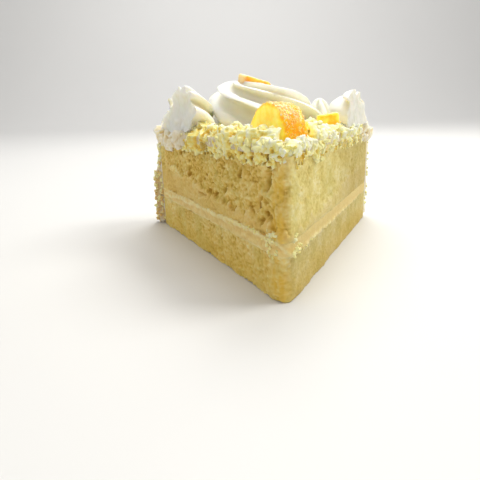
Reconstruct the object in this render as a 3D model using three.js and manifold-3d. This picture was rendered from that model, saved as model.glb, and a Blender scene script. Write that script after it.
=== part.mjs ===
// A slice of white layer cake: two sponge layers with a band of cream between them, a cream coat on the
// top and the outer side with cake crumbs pressed into it, a piped swirl, the two cut halves of the
// swirls on either side of it, and three pieces of sugared citrus jelly.
// Millimetres, +Z up. The slice is worked out with the axis of the whole cake at x = 0, y = 0 and its tip
// pointing to -Y; the group then moves it so that the origin is the middle of the foot of its bounding box.

import * as THREE from "three";
import { mergeVertices } from "three/addons/utils/BufferGeometryUtils.js";
import Module from "manifold-3d";

const { degToRad, lerp, smoothstep } = THREE.MathUtils;

// Driving dimensions.
const HALF_ANGLE = degToRad(25.5); // about a seventh of a cake
const SPONGE_RADIUS = 112; // a nine inch cake
const LOWER_SPONGE = 13.5;
const FILLING = 3.5;
const UPPER_SPONGE = 23.4;
const COAT_TOP = 2.2;
const COAT_SIDE = 4;
const COAT_FOOT = 2; // the side coat stops short of the surface that the cake stands on
const TIP_ROUND = 3.2; // radius of the blunt tip
const GAP = 0.3; // between pieces that touch

// The swirls. Each stands at a step round the cake from the middle of the slice, on a ring of some radius.
// Its top leans over by an offset in plan, the later the higher its bend is. The higher its power is, the
// fuller its dome. Its ridges are wound by its twist, and the first begins at its start.
const MIDDLE_SWIRL = {
  step: degToRad(0.3),
  ring: 88,
  radius: 25.5,
  height: 20.8,
  lean: [-10.5, 0],
  bend: 2.5,
  power: 3.5,
  twist: 2.6,
  start: 0.3,
};
const LEFT_SWIRL = {
  step: degToRad(-30),
  ring: 89,
  radius: 24.5,
  height: 18.5,
  lean: [6.5, -11],
  bend: 1,
  power: 2.1,
  twist: 2.7,
  start: 1.3,
};
const RIGHT_SWIRL = {
  step: degToRad(33.5),
  ring: 93,
  radius: 25,
  height: 15.3,
  lean: [-4, -9],
  bend: 1,
  power: 4.5,
  twist: 2.7,
  start: 2.1,
};
// The tail of cream that the nozzle left behind the middle swirl.
const TAIL = {
  step: degToRad(14.5),
  ring: 100,
  radius: 5.5,
  height: 13.2,
  lean: [0, 0],
  bend: 1,
  power: 3,
  twist: 1,
  start: 0,
};

// The jelly pieces: outlines across and up, and how thick each is.
const FRONT_JELLY = { outline: halfRound(9.5, -0.22, 11), thick: 8.6, rounds: 2 };
const RIGHT_JELLY = {
  outline: [
    [3.8, -1],
    [3.6, 5.4],
    [2.6, 6.5],
    [-2.5, 6.2],
    [-3.6, 5],
    [-3.8, -1],
  ],
  thick: 5.5,
  rounds: 1,
};
const TOP_JELLY = {
  outline: [
    [7.2, -1],
    [6.7, 0.6],
    [1.5, 3],
    [-2, 4],
    [-6.2, 3.5],
    [-6.9, 2.2],
    [-7, -1],
  ],
  thick: 6.5,
  rounds: 1,
};

// Heights and radii that follow from them.
const FILLING_FOOT = LOWER_SPONGE + GAP;
const FILLING_TOP = FILLING_FOOT + FILLING;
const UPPER_FOOT = FILLING_TOP + GAP;
const SPONGE_TOP = UPPER_FOOT + UPPER_SPONGE;
const COAT_LEVEL = SPONGE_TOP + GAP + COAT_TOP;
const TOPPING_FOOT = COAT_LEVEL + GAP;
const COAT_RADIUS = SPONGE_RADIUS + GAP + COAT_SIDE;
const TIP_CENTRE = TIP_ROUND / Math.sin(HALF_ANGLE);
const FACE_TURN = Math.PI / 2 - HALF_ANGLE; // from -Y round to the way out of a cut face

const wasm = await Module();
wasm.setup();

// Repeatable draws between 0 and 1.
function drawsFrom(seed) {
  let state = seed >>> 0;
  return () => {
    state = (state + 0x6d2b79f5) >>> 0;
    let t = Math.imul(state ^ (state >>> 15), 1 | state);
    t = (t + Math.imul(t ^ (t >>> 7), 61 | t)) ^ t;
    return ((t ^ (t >>> 14)) >>> 0) / 4294967296;
  };
}

// A repeatable number in -1..1 for a whole-number place.
function cornerValue(i, j, k) {
  let h = Math.imul(i, 374761393) ^ Math.imul(j, 668265263) ^ Math.imul(k, 2147483647 - 1442695041);
  h = Math.imul(h ^ (h >>> 13), 1274126177);
  return ((h ^ (h >>> 16)) >>> 0) / 2147483648 - 1;
}

// Smooth lumps in -1..1, one lump per unit of x, y and z.
function lumps(x, y, z) {
  const [i, j, k] = [x, y, z].map(Math.floor);
  const [u, v, w] = [x - i, y - j, z - k].map((t) => t * t * (3 - 2 * t));
  const along = (dj, dk) => lerp(cornerValue(i, j + dj, k + dk), cornerValue(i + 1, j + dj, k + dk), u);
  return lerp(lerp(along(0, 0), along(1, 0), v), lerp(along(0, 1), along(1, 1), v), w);
}

// The outline of a round that is cut off level, as points across and up. Its arc begins at an angle below
// or above the middle, and the cut is at the height 0.
function halfRound(radius, begin, steps) {
  return Array.from({ length: steps + 1 }, (_, i) => {
    const angle = lerp(begin, Math.PI - begin, i / steps);
    return [radius * Math.cos(angle), radius * (Math.sin(angle) - Math.sin(begin))];
  });
}

// A closed geometry as a manifold-3d solid.
function solidOf(geometry) {
  const bare = new THREE.BufferGeometry().setAttribute("position", geometry.getAttribute("position"));
  bare.setIndex(geometry.index);
  const merged = mergeVertices(bare, 1e-3);
  return new wasm.Manifold(
    new wasm.Mesh({
      numProp: 3,
      vertProperties: merged.getAttribute("position").array,
      triVerts: new Uint32Array(merged.index.array),
    }),
  );
}

// A closed geometry with its flat faces in as few triangles as they need.
function plainFaced(geometry) {
  return geometryOf(solidOf(geometry).asOriginal().simplify(0.01));
}

// A manifold-3d solid as a geometry. A loose scrap is dropped: the largest body is what is kept.
function geometryOf(solid) {
  const [body] = solid.decompose().sort((a, b) => b.volume() - a.volume());
  const { vertProperties, triVerts } = body.getMesh();
  return new THREE.BufferGeometry()
    .setAttribute("position", new THREE.BufferAttribute(vertProperties, 3))
    .setIndex(new THREE.BufferAttribute(triVerts, 1));
}

// Moves every vertex of a geometry by a rule that changes the point it is given.
function reshape(geometry, rule) {
  const position = geometry.getAttribute("position");
  const point = new THREE.Vector3();
  for (let i = 0; i < position.count; i++) {
    rule(point.fromBufferAttribute(position, i));
    position.setXYZ(i, point.x, point.y, point.z);
  }
  return geometry;
}

// A block in the plan of the slice: blunt at the tip, with two cut faces and a round outer side. Its cells
// are counted across, along and up. relief moves a point; it is also told how far across the slice the
// point is, -1..1, and how far out from the tip, 0..1.
function sliceBlock({ radius, foot, top, cells }, relief) {
  const block = new THREE.BoxGeometry(2, 1, top - foot, ...cells).translate(0, 0.5, (foot + top) / 2);
  return reshape(block, (p) => {
    const { x: side, y: share } = p;
    const turn = side * FACE_TURN;
    const angle = side * HALF_ANGLE;
    p.x = lerp(TIP_ROUND * Math.sin(turn), radius * Math.sin(angle), share);
    p.y = lerp(TIP_CENTRE - TIP_ROUND * Math.cos(turn), radius * Math.cos(angle), share);
    relief(p, side, share);
  });
}

// How far inside the nearer cut face a place in plan is.
function insideCuts(x, y) {
  return y * Math.sin(HALF_ANGLE) - Math.abs(x) * Math.cos(HALF_ANGLE);
}

// One layer between two heights, its cut faces roughened by rough(x, y, z), in mm outwards. Its outer
// side stays smooth, under the coat.
function layerGeometry(foot, top, cells, rough) {
  return sliceBlock({ radius: SPONGE_RADIUS, foot, top, cells }, (p, side, share) => {
    const atTip = share < 1e-6;
    const turn = (atTip ? side : Math.sign(side)) * FACE_TURN;
    const weight = atTip ? 1 : Math.abs(side);
    const out = weight * rough(p.x, p.y, p.z) * (1 - smoothstep(share, 0.94, 1));
    p.x += out * Math.sin(turn);
    p.y -= out * Math.cos(turn);
  });
}

// The crumb of a cut sponge: upright drag marks with torn pits between them.
function tornCrumb(depth, foot, top) {
  return (x, y, z) => {
    const drag = lumps(x / 4.5, y / 4.5, z / 14);
    const pits = Math.min(0, lumps(x / 3.4 + 40, y / 3.4, z / 4.2));
    const bulge = 0.5 * Math.sin((Math.PI * (z - foot)) / (top - foot));
    return depth * (0.75 * drag + 1.1 * pits) + bulge;
  };
}

// The cut edge of the filling, dragged out in places by the knife.
function smear(x, y, z) {
  return 0.35 + 0.4 * lumps(x / 6, y / 6, z / 3);
}

// Where the pieces that stand on the coat lie in plan: each a line from one end to the other, and how far
// the piece reaches from it.
const footprints = [];

// How far a place in plan is outside the nearest of those pieces.
function clearOfPieces(x, y) {
  const place = new THREE.Vector3(x, y, 0);
  const gaps = footprints.map(({ line, reach }) => {
    const nearest = line.closestPointToPoint(place, true, new THREE.Vector3());
    return nearest.distanceTo(place) - reach;
  });
  return Math.min(...gaps);
}

function addFootprint(x, y, turn, half, reach) {
  const along = new THREE.Vector3(half * Math.cos(turn), half * Math.sin(turn), 0);
  const centre = new THREE.Vector3(x, y, 0);
  footprints.push({ line: new THREE.Line3(centre.clone().sub(along), centre.clone().add(along)), reach });
}

// A piped swirl: a round of whipped cream from a star nozzle. Its ridges run down to the right as they
// come round the front. The foot is flat, at z = 0.
function swirlGeometry({ radius, height, lean, bend, power, twist, start }, lobes, rows) {
  const profile = [new THREE.Vector2(0, 0)];
  for (let i = 0; i < rows; i++) {
    const rise = Math.sin((Math.PI / 2) * (i / rows)) ** 0.9;
    const bulge = 0.84 + 0.16 * Math.sin(Math.PI * Math.min(0.5, rise * 1.6));
    profile.push(new THREE.Vector2(bulge * (1 - rise ** power) ** 0.57, rise));
  }
  profile.push(new THREE.Vector2(0, 1));
  const geometry = new THREE.LatheGeometry(profile, lobes * 5).rotateX(Math.PI / 2);
  return reshape(geometry, (p) => {
    const rise = Math.max(0, p.z);
    const angle = Math.atan2(p.y, p.x);
    const lobe = (lobes * angle) / (2 * Math.PI);
    const phase = lobe - Math.floor(lobe + 1e-4);
    const valley = Math.min(smoothstep(phase, 0, 0.7), 1 - smoothstep(phase, 0.7, 1));
    const groove = 0.24 * Math.sin(Math.PI * Math.min(1, 0.15 + rise * 0.8));
    const wander = 0.04 * Math.sin(angle * 2 + start) + 0.03 * Math.sin(angle * 3 - start);
    const r = radius * Math.hypot(p.x, p.y) * (0.98 - groove * valley + wander * rise);
    const turned = angle + start - twist * rise ** 0.85;
    const lift = 1 + 0.09 * (0.4 - valley) * smoothstep(rise, 0.25, 0.7);
    p.set(
      r * Math.cos(turned) + lean[0] * rise ** bend,
      r * Math.sin(turned) + lean[1] * rise ** bend,
      rise * height * lift,
    );
  });
}

// A wedge-shaped block far taller than the cake, that trims swirls to the two cuts of the slice.
function betweenCuts() {
  const tall = 200;
  const shape = new THREE.Shape([
    new THREE.Vector2(0, 0),
    new THREE.Vector2(tall * Math.sin(HALF_ANGLE), tall * Math.cos(HALF_ANGLE)),
    new THREE.Vector2(-tall * Math.sin(HALF_ANGLE), tall * Math.cos(HALF_ANGLE)),
  ]);
  return solidOf(new THREE.ExtrudeGeometry(shape, { depth: tall, bevelEnabled: false }));
}

// A piece of jelly with softened edges. It lies along +Y from its middle, and its outline stands on z = 0
// before it is tilted.
function jellyGeometry({ outline, thick, rounds }) {
  const soft = 0.9;
  return new THREE.ExtrudeGeometry(new THREE.Shape(outline.map((point) => new THREE.Vector2(...point))), {
    depth: thick - 2 * soft,
    bevelThickness: soft,
    bevelSize: soft,
    bevelOffset: -soft,
    bevelSegments: rounds,
  })
    .translate(0, 0, soft - thick / 2)
    .rotateX(Math.PI / 2);
}

// A solid grown by a margin all round, near enough: copies of it pushed out on each side.
function grown(solid, margin) {
  const ways = [
    [1, 0, 0],
    [-1, 0, 0],
    [0, 1, 0],
    [0, -1, 0],
    [0, 0, 1],
    [0, 0, -1],
  ];
  return ways.reduce((all, way) => all.add(solid.translate(way.map((w) => w * margin))), solid);
}

// A swirl where it stands, with its footprint noted.
function setSwirl(style, lobes, rows) {
  const x = style.ring * Math.sin(style.step);
  const y = style.ring * Math.cos(style.step);
  addFootprint(x, y, 0, 0, style.radius);
  return solidOf(swirlGeometry(style, lobes, rows).translate(x, y, TOPPING_FOOT));
}

// The jelly standing at a place, with its footprint noted.
function setJelly(style, { turn, lean, x, y, foot, sink }) {
  const across = style.outline.map(([place]) => Math.abs(place));
  addFootprint(x, y, turn, Math.max(...across) - style.thick / 2, style.thick / 2 + 0.5);
  const geometry = jellyGeometry(style).rotateY(lean).rotateZ(turn).translate(x, y, foot - sink);
  const above = new THREE.BoxGeometry(120, 120, 60).translate(x, y, foot + 30);
  return solidOf(geometry).intersect(solidOf(above));
}

const jellyFront = setJelly(FRONT_JELLY, {
  turn: degToRad(-60),
  lean: degToRad(6),
  x: 0,
  y: 27,
  foot: TOPPING_FOOT,
  sink: 1,
});
const jellyRight = setJelly(RIGHT_JELLY, {
  turn: degToRad(-4),
  lean: degToRad(-3),
  x: 21.2,
  y: 57,
  foot: TOPPING_FOOT,
  sink: 0.3,
});
const jellyTop = setJelly(TOP_JELLY, {
  turn: degToRad(-8),
  lean: degToRad(8),
  x: -3.6,
  y: 87,
  foot: TOPPING_FOOT + 18.2,
  sink: 0,
});

const wholeMiddle = setSwirl(MIDDLE_SWIRL, 8, 11).add(setSwirl(TAIL, 5, 6));
const swirlMiddle = wholeMiddle.subtract(grown(jellyTop, GAP));
const besideMiddle = grown(wholeMiddle, GAP);
const swirlLeft = setSwirl(LEFT_SWIRL, 8, 11).intersect(betweenCuts()).subtract(besideMiddle);
const swirlRight = setSwirl(RIGHT_SWIRL, 8, 11).intersect(betweenCuts()).subtract(besideMiddle);

// The coat before it has its crumbs and the room for the sponge: an uneven block over the whole slice.
function coatBlock() {
  const size = { radius: COAT_RADIUS, foot: COAT_FOOT, top: COAT_LEVEL, cells: [12, 26, 6] };
  return sliceBlock(size, (p, side, share) => {
    if (p.z > COAT_LEVEL - 1e-3) {
      const bare = smoothstep(clearOfPieces(p.x, p.y), 0.5, 4);
      p.z += bare * (0.3 + lumps(p.x / 5, p.y / 5, 7)) - 1.2 * (1 - smoothstep(share, 0, 0.16));
    }
    if (share < 1 - 1e-6) return;
    const belly = 1.2 * Math.sin((Math.PI * p.z) / COAT_LEVEL) ** 2;
    const crust = 3.2 * smoothstep(-side, 0.5, 1) * (1 - smoothstep(p.z, 20, 31));
    const out = 1 + (1.1 * lumps(p.x / 7, 3, p.z / 6) - 0.6 + belly + crust) / COAT_RADIUS;
    p.x *= out;
    p.y *= out;
  });
}

// One cake crumb: a small uneven lump.
function crumbSolid(draw, size, x, y, z) {
  const squash = new THREE.Vector3(0.8 + 0.5 * draw(), 0.8 + 0.5 * draw(), 0.7 + 0.35 * draw());
  const knocks = drawsFrom(Math.floor(draw() * 1e9));
  const moved = new Map();
  const lump = reshape(new THREE.IcosahedronGeometry(size, 0), (p) => {
    const key = p.toArray().map((v) => v.toFixed(3)).join();
    if (!moved.has(key)) moved.set(key, 0.78 + 0.4 * knocks());
    p.multiply(squash).multiplyScalar(moved.get(key));
  });
  lump.rotateX(draw() * 6).rotateZ(draw() * 6).translate(x, y, z);
  return solidOf(lump);
}

// Crumbs over the top, closest together near the tip, clear of everything that stands there.
function topCrumbs(draw) {
  const crumbs = [];
  const pitch = 4.5;
  for (let row = 0; row * pitch < COAT_RADIUS - 6; row++) {
    for (let column = -14; column <= 14; column++) {
      const x = (column + (row % 2) / 2 + 0.5 * (draw() - 0.5)) * pitch;
      const y = 7 + row * pitch * 0.9 + 0.5 * (draw() - 0.5) * pitch;
      const size = 1.8 + 1.4 * draw() ** 1.5;
      const clear = clearOfPieces(x, y) > size;
      if (insideCuts(x, y) < 0.2 || Math.hypot(x, y) > COAT_RADIUS - 3 || !clear) continue;
      const level = COAT_LEVEL - 1.2 * (1 - smoothstep(y, 4, 22));
      crumbs.push(crumbSolid(draw, size, x, y, level + 0.3 * size + 0.6 * draw()));
    }
  }
  return crumbs;
}

// Crumbs on the outer side, spread wider.
function sideCrumbs(draw) {
  const crumbs = [];
  const pitch = 11;
  for (let row = 0; row < 4; row++) {
    for (let column = -4; column <= 4; column++) {
      const a = ((column + (row % 2) / 2 + 0.5 * (draw() - 0.5)) * pitch) / COAT_RADIUS;
      const z = 7 + row * pitch * 0.9 + 4 * (draw() - 0.5);
      const size = 1.3 + 0.9 * draw();
      if (Math.abs(a) > HALF_ANGLE - 0.02) continue;
      crumbs.push(crumbSolid(draw, size, COAT_RADIUS * Math.sin(a), COAT_RADIUS * Math.cos(a), z));
    }
  }
  return crumbs;
}

// The coat with its crumbs fused to it, and room for the sponge under it and for what stands on it.
function coatSolid() {
  const draw = drawsFrom(11);
  const crumbs = [...topCrumbs(draw), ...sideCrumbs(draw)];
  const room = new THREE.CylinderGeometry(SPONGE_RADIUS + GAP, SPONGE_RADIUS + GAP, 80, 128);
  room.rotateX(Math.PI / 2).translate(0, 0, SPONGE_TOP + GAP - 40);
  const standing = [swirlMiddle, swirlLeft, swirlRight, jellyFront, jellyRight];
  const crumbed = wasm.Manifold.union([solidOf(coatBlock()), ...crumbs]);
  const rooms = standing.map((solid) => grown(solid, GAP));
  return crumbed.subtract(wasm.Manifold.union([solidOf(room), ...rooms]));
}

const spongeLook = new THREE.MeshStandardMaterial({ color: 0xd9c77c, roughness: 0.95 });
const fillingLook = new THREE.MeshStandardMaterial({ color: 0xe2d2a0, roughness: 0.7 });
const coatLook = new THREE.MeshStandardMaterial({ color: 0xe9dfae, roughness: 0.9 });
const creamLook = new THREE.MeshStandardMaterial({ color: 0xf6f3e6, roughness: 0.55 });
const jellyLook = new THREE.MeshStandardMaterial({ color: 0xf6a623, roughness: 0.35 });

const slice = new THREE.Group();

function addPiece(name, geometry, material) {
  const piece = new THREE.Mesh(geometry, material);
  piece.name = name;
  slice.add(piece);
}

const lowerCrumb = tornCrumb(0.8, 0, LOWER_SPONGE);
const upperCrumb = tornCrumb(1.4, UPPER_FOOT, SPONGE_TOP);
const lower = layerGeometry(0, LOWER_SPONGE, [4, 34, 4], lowerCrumb);
const filling = layerGeometry(FILLING_FOOT, FILLING_TOP, [4, 20, 1], smear);
const upper = layerGeometry(UPPER_FOOT, SPONGE_TOP, [4, 34, 7], upperCrumb);
addPiece("sponge_lower", plainFaced(lower), spongeLook);
addPiece("cream_filling", plainFaced(filling), fillingLook);
addPiece("sponge_upper", plainFaced(upper), spongeLook);
addPiece("crumbed_coat", geometryOf(coatSolid()), coatLook);
addPiece("swirl_middle", geometryOf(swirlMiddle), creamLook);
addPiece("swirl_left", geometryOf(swirlLeft), creamLook);
addPiece("swirl_right", geometryOf(swirlRight), creamLook);
addPiece("jelly_front", geometryOf(jellyFront), jellyLook);
addPiece("jelly_right", geometryOf(jellyRight), jellyLook);
addPiece("jelly_top", geometryOf(jellyTop), jellyLook);

const middle = new THREE.Box3().setFromObject(slice).getCenter(new THREE.Vector3());
slice.position.set(-middle.x, -middle.y, 0);

export default slice;
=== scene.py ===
"""A slice of white layer cake: torn sponge, a smear of cream, crumbs, swirls and citrus jelly.

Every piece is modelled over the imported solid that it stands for. Lengths are in metres, with +Z up and
the tip of the slice towards -Y. A place along a cut face is its distance from the whole cake's axis.
"""

from __future__ import annotations

import logging
import math
import random
from collections.abc import Iterator
from contextlib import contextmanager
from dataclasses import dataclass
from enum import Enum

import bpy
import numpy as np
from mathutils import Matrix, Vector
from mathutils.bvhtree import BVHTree


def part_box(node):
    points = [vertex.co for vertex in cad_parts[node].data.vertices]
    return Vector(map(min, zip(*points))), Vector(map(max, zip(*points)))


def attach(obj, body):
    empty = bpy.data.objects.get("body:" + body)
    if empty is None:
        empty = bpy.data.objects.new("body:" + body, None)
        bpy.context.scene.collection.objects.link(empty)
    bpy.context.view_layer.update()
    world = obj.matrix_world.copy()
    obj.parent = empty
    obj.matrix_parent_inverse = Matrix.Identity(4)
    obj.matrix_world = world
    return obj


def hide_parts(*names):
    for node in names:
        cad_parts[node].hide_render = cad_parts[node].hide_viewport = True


log = logging.getLogger("cake")

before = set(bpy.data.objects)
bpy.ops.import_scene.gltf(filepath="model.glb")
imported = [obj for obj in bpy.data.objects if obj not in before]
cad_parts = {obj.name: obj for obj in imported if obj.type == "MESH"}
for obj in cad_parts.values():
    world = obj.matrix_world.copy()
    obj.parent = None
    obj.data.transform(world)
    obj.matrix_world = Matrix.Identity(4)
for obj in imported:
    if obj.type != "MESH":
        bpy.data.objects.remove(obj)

Piece = bpy.types.Object
Material = bpy.types.Material
Pair = tuple[float, float]
Triple = tuple[float, float, float]
Colour = tuple[int, int, int]

MM = 0.001
BODY = "root"
HALF_ANGLE = math.radians(25.5)
SPONGE_RADIUS = 112 * MM
COAT_SIDE = 4.3 * MM
TIP_ROUND = 3.2 * MM
ROUND_SIDES = 256

# How much longer than high the patterns on the cut faces are, as the knife drew them out.
DRAGGED = (1.6, 1.6, 1)

# The notes and areas on a piece's vertices. A vertex group has AREA after its name.
AREA = "_area"
HOLLOW, TINT, CRUST, PEEL, CREASE = "hollow", "tint", "crust", "peel", "crease"
CUT, SCRAPED, GOUGED, TORN, RIDGE, RAISED = "cut", "scraped", "gouged", "torn", "ridge", "raised"


class Part(Enum):
    """The parts of a mesh that edit mode can select."""

    VERTS = 0
    EDGES = 1
    FACES = 2


class Pattern(Enum):
    """The textures that lift or sink a surface."""

    CLOUDS = "CLOUDS"
    PITS = "VORONOI"


def mm(*lengths: float) -> tuple[float, ...]:
    """Gives lengths that are stated in millimetres."""
    return tuple(length * MM for length in lengths)


def unit(values: np.ndarray | float) -> np.ndarray | float:
    """Clips values to 0 to 1."""
    return np.clip(values, 0, 1)


def paint(red: int, green: int, blue: int) -> Triple:
    """Gives the shader's colour for one that a screen shows, each part from 0 to 255."""
    shares = [level / 255 for level in (red, green, blue)]
    linear = [((share + 0.055) / 1.055) ** 2.4 for share in shares]
    return linear[0], linear[1], linear[2]


def drift(place: np.ndarray, grain: float, seed: int) -> np.ndarray:
    """Wanders softly between -1 and 1 along a line.

    Args:
        place: Where on the line each value is wanted.
        grain: How long one swing is.
        seed: The seed of its draws.

    Returns:
        The values.
    """
    swings = 997
    heights = np.random.default_rng(seed).uniform(-1, 1, swings)
    step = place / grain
    before = np.floor(step).astype(int)
    share = step - before
    share = share * share * (3 - 2 * share)
    return heights[before % swings] * (1 - share) + heights[(before + 1) % swings] * share


# Modelling


class Bench:
    """Blender's modelling operators, used as by hand on one piece at a time."""

    @staticmethod
    def take(piece: Piece) -> None:
        """Makes a piece the only selected one and the active one."""
        bpy.ops.object.select_all(action="DESELECT")
        piece.select_set(True)
        bpy.context.view_layer.objects.active = piece

    @staticmethod
    def named(name: str) -> Piece:
        """Names the primitive that was just added, and settles its place into its mesh."""
        piece = bpy.context.object
        piece.name = piece.data.name = name
        Bench.take(piece)
        bpy.ops.object.transform_apply(location=True, rotation=True, scale=True)
        return piece

    @staticmethod
    def read(
        items: bpy.types.bpy_prop_collection, field: str, width: int, kind: type = float
    ) -> np.ndarray:
        """Reads a field of many items of a mesh.

        Args:
            items: The items.
            field: The field's name.
            width: How many numbers it holds for each item.
            kind: Their type.

        Returns:
            A row for each item.
        """
        flat = np.empty(width * len(items), kind)
        items.foreach_get(field, flat)
        return flat.reshape(-1, width)

    @staticmethod
    def points(piece: Piece) -> np.ndarray:
        """Gives the places of a piece's vertices, one row each."""
        return Bench.read(piece.data.vertices, "co", 3)

    @staticmethod
    def edges_among(piece: Piece, chosen: np.ndarray) -> np.ndarray:
        """Tells of each edge whether both its ends are among the chosen vertices."""
        return chosen[Bench.read(piece.data.edges, "vertices", 2, int)].all(axis=1)

    @staticmethod
    @contextmanager
    def editing(piece: Piece, part: Part, chosen: np.ndarray | None = None) -> Iterator[None]:
        """Opens edit mode on a piece with some of it selected, until the block ends.

        Args:
            piece: The piece to edit.
            part: Whether vertices, edges or faces are selected.
            chosen: One truth value for each of those, or nothing to select them all.

        Yields:
            Nothing.
        """
        Bench.take(piece)
        mesh = piece.data
        bpy.context.tool_settings.mesh_select_mode = [part is kind for kind in Part]
        if chosen is not None:
            for kind, items in zip(Part, (mesh.vertices, mesh.edges, mesh.polygons)):
                picked = chosen if kind is part else np.zeros(len(items), bool)
                items.foreach_set("select", picked)
        bpy.ops.object.mode_set(mode="EDIT")
        if chosen is None:
            bpy.ops.mesh.select_all(action="SELECT")
        yield
        bpy.ops.object.mode_set(mode="OBJECT")

    @staticmethod
    def bevel(piece: Piece, edges: np.ndarray | None, width: float, steps: int) -> None:
        """Rounds the chosen edges of a piece, or all for None, by a width in some steps."""
        with Bench.editing(piece, Part.EDGES, edges):
            bpy.ops.mesh.bevel(offset=width, segments=steps, affect="EDGES")

    @staticmethod
    def cut(piece: Piece, place: Vector, outwards: Vector) -> None:
        """Cuts a piece along a plane, throws away what is outside, and closes the cut."""
        with Bench.editing(piece, Part.FACES):
            bpy.ops.mesh.bisect(plane_co=place, plane_no=outwards, use_fill=True, clear_outer=True)

    @staticmethod
    def resize(share: float, centre: Vector) -> None:
        """Scales what is selected across X and Y about a centre."""
        bpy.ops.transform.resize(value=(share, share, 1), center_override=centre)

    @staticmethod
    def turn(angle: float, centre: Vector) -> None:
        """Turns what is selected about an upright line through a centre."""
        bpy.ops.transform.rotate(value=angle, orient_axis="Z", center_override=centre)

    @staticmethod
    def modify(piece: Piece, kind: str, **settings: object) -> None:
        """Gives a piece a modifier and applies it.

        Args:
            piece: The piece.
            kind: The modifier's type.
            **settings: Its settings.
        """
        modifier = piece.modifiers.new("shaping", kind)
        for name, value in settings.items():
            setattr(modifier, name, value)
        Bench.take(piece)
        bpy.ops.object.modifier_apply(modifier=modifier.name)

    @staticmethod
    def remesh(piece: Piece, cell: float) -> None:
        """Gives a closed piece a skin of even small squares, and keeps what is noted on it."""
        Bench.take(piece)
        piece.data.remesh_voxel_size = cell
        piece.data.use_remesh_preserve_attributes = True
        bpy.ops.object.voxel_remesh()

    @staticmethod
    def weigh(piece: Piece, area: str, weights: np.ndarray) -> None:
        """Adds a vertex group that says where an area of a piece is.

        Args:
            piece: The piece.
            area: The area's name, which a note on the piece may have too.
            weights: A weight from 0 to 1 for each vertex.
        """
        group = piece.vertex_groups.new(name=area + AREA)
        steps = 20
        levels = np.rint(unit(weights) * steps).astype(int)
        for level in range(1, steps + 1):
            members = np.nonzero(levels == level)[0].tolist()
            if members:
                group.add(members, level / steps, "REPLACE")

    @staticmethod
    def swell(piece: Piece, area: str, amount: float) -> None:
        """Lifts a piece's surface by an amount in one area."""
        if amount:
            Bench.modify(piece, "DISPLACE", strength=amount, mid_level=0, vertex_group=area + AREA)

    @staticmethod
    def note(piece: Piece, name: str, values: np.ndarray) -> None:
        """Notes a number on every vertex under a name, for the piece's finish."""
        notes = piece.data.attributes
        mark = notes.get(name) or notes.new(name, "FLOAT", "POINT")
        mark.data.foreach_set("value", values.astype(np.float32))

    @staticmethod
    def mark(piece: Piece, area: str, weights: np.ndarray) -> None:
        """Adds an area as a vertex group, and notes its weights too."""
        Bench.weigh(piece, area, weights)
        Bench.note(piece, area, weights)

    @staticmethod
    def settle(piece: Piece) -> None:
        """Presses flat what reaches under the floor."""
        points = Bench.points(piece)
        points[:, 2] = np.maximum(points[:, 2], 0)
        piece.data.vertices.foreach_set("co", points.ravel())

    @staticmethod
    def mark_hollows(piece: Piece, reach: int, depth: float) -> None:
        """Notes for every vertex how far it stands out from the surface round it.

        Args:
            piece: The piece.
            reach: How many vertices away the surface round it goes.
            depth: The height that counts as 1; what is hollow is below 0.
        """
        points = Bench.points(piece)
        ends = Bench.read(piece.data.edges, "vertices", 2, int)
        count = np.bincount(ends.ravel(), minlength=len(points))[:, None].clip(1)
        even = points
        for _ in range(reach):
            total = np.zeros_like(points)
            for axis in range(3):
                for near, far in (ends.T, ends.T[::-1]):
                    total[:, axis] += np.bincount(near, even[far, axis], len(points))
            even = total / count
        normals = Bench.read(piece.data.vertex_normals, "vector", 3)
        height = ((points - even) * normals).sum(axis=1) / depth
        Bench.note(piece, HOLLOW, np.clip(height, -1, 1))

    @staticmethod
    def copy(piece: Piece, place: Matrix) -> Piece:
        """Copies a piece with a mesh of its own, and puts the copy in its place."""
        twin = piece.copy()
        twin.data = piece.data.copy()
        twin.data.transform(place)
        bpy.context.collection.objects.link(twin)
        return twin

    @staticmethod
    def join(pieces: list[Piece], name: str) -> Piece:
        """Joins pieces into one, named anew."""
        Bench.take(pieces[0])
        for piece in pieces:
            piece.select_set(True)
        bpy.ops.object.join()
        whole = bpy.context.object
        whole.name = whole.data.name = name
        return whole

    @staticmethod
    def surface(piece: Piece) -> BVHTree:
        """Gives a piece's surface in a form that a ray can be cast on."""
        faces = [list(face.vertices) for face in piece.data.polygons]
        return BVHTree.FromPolygons([v.co for v in piece.data.vertices], faces)


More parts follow.
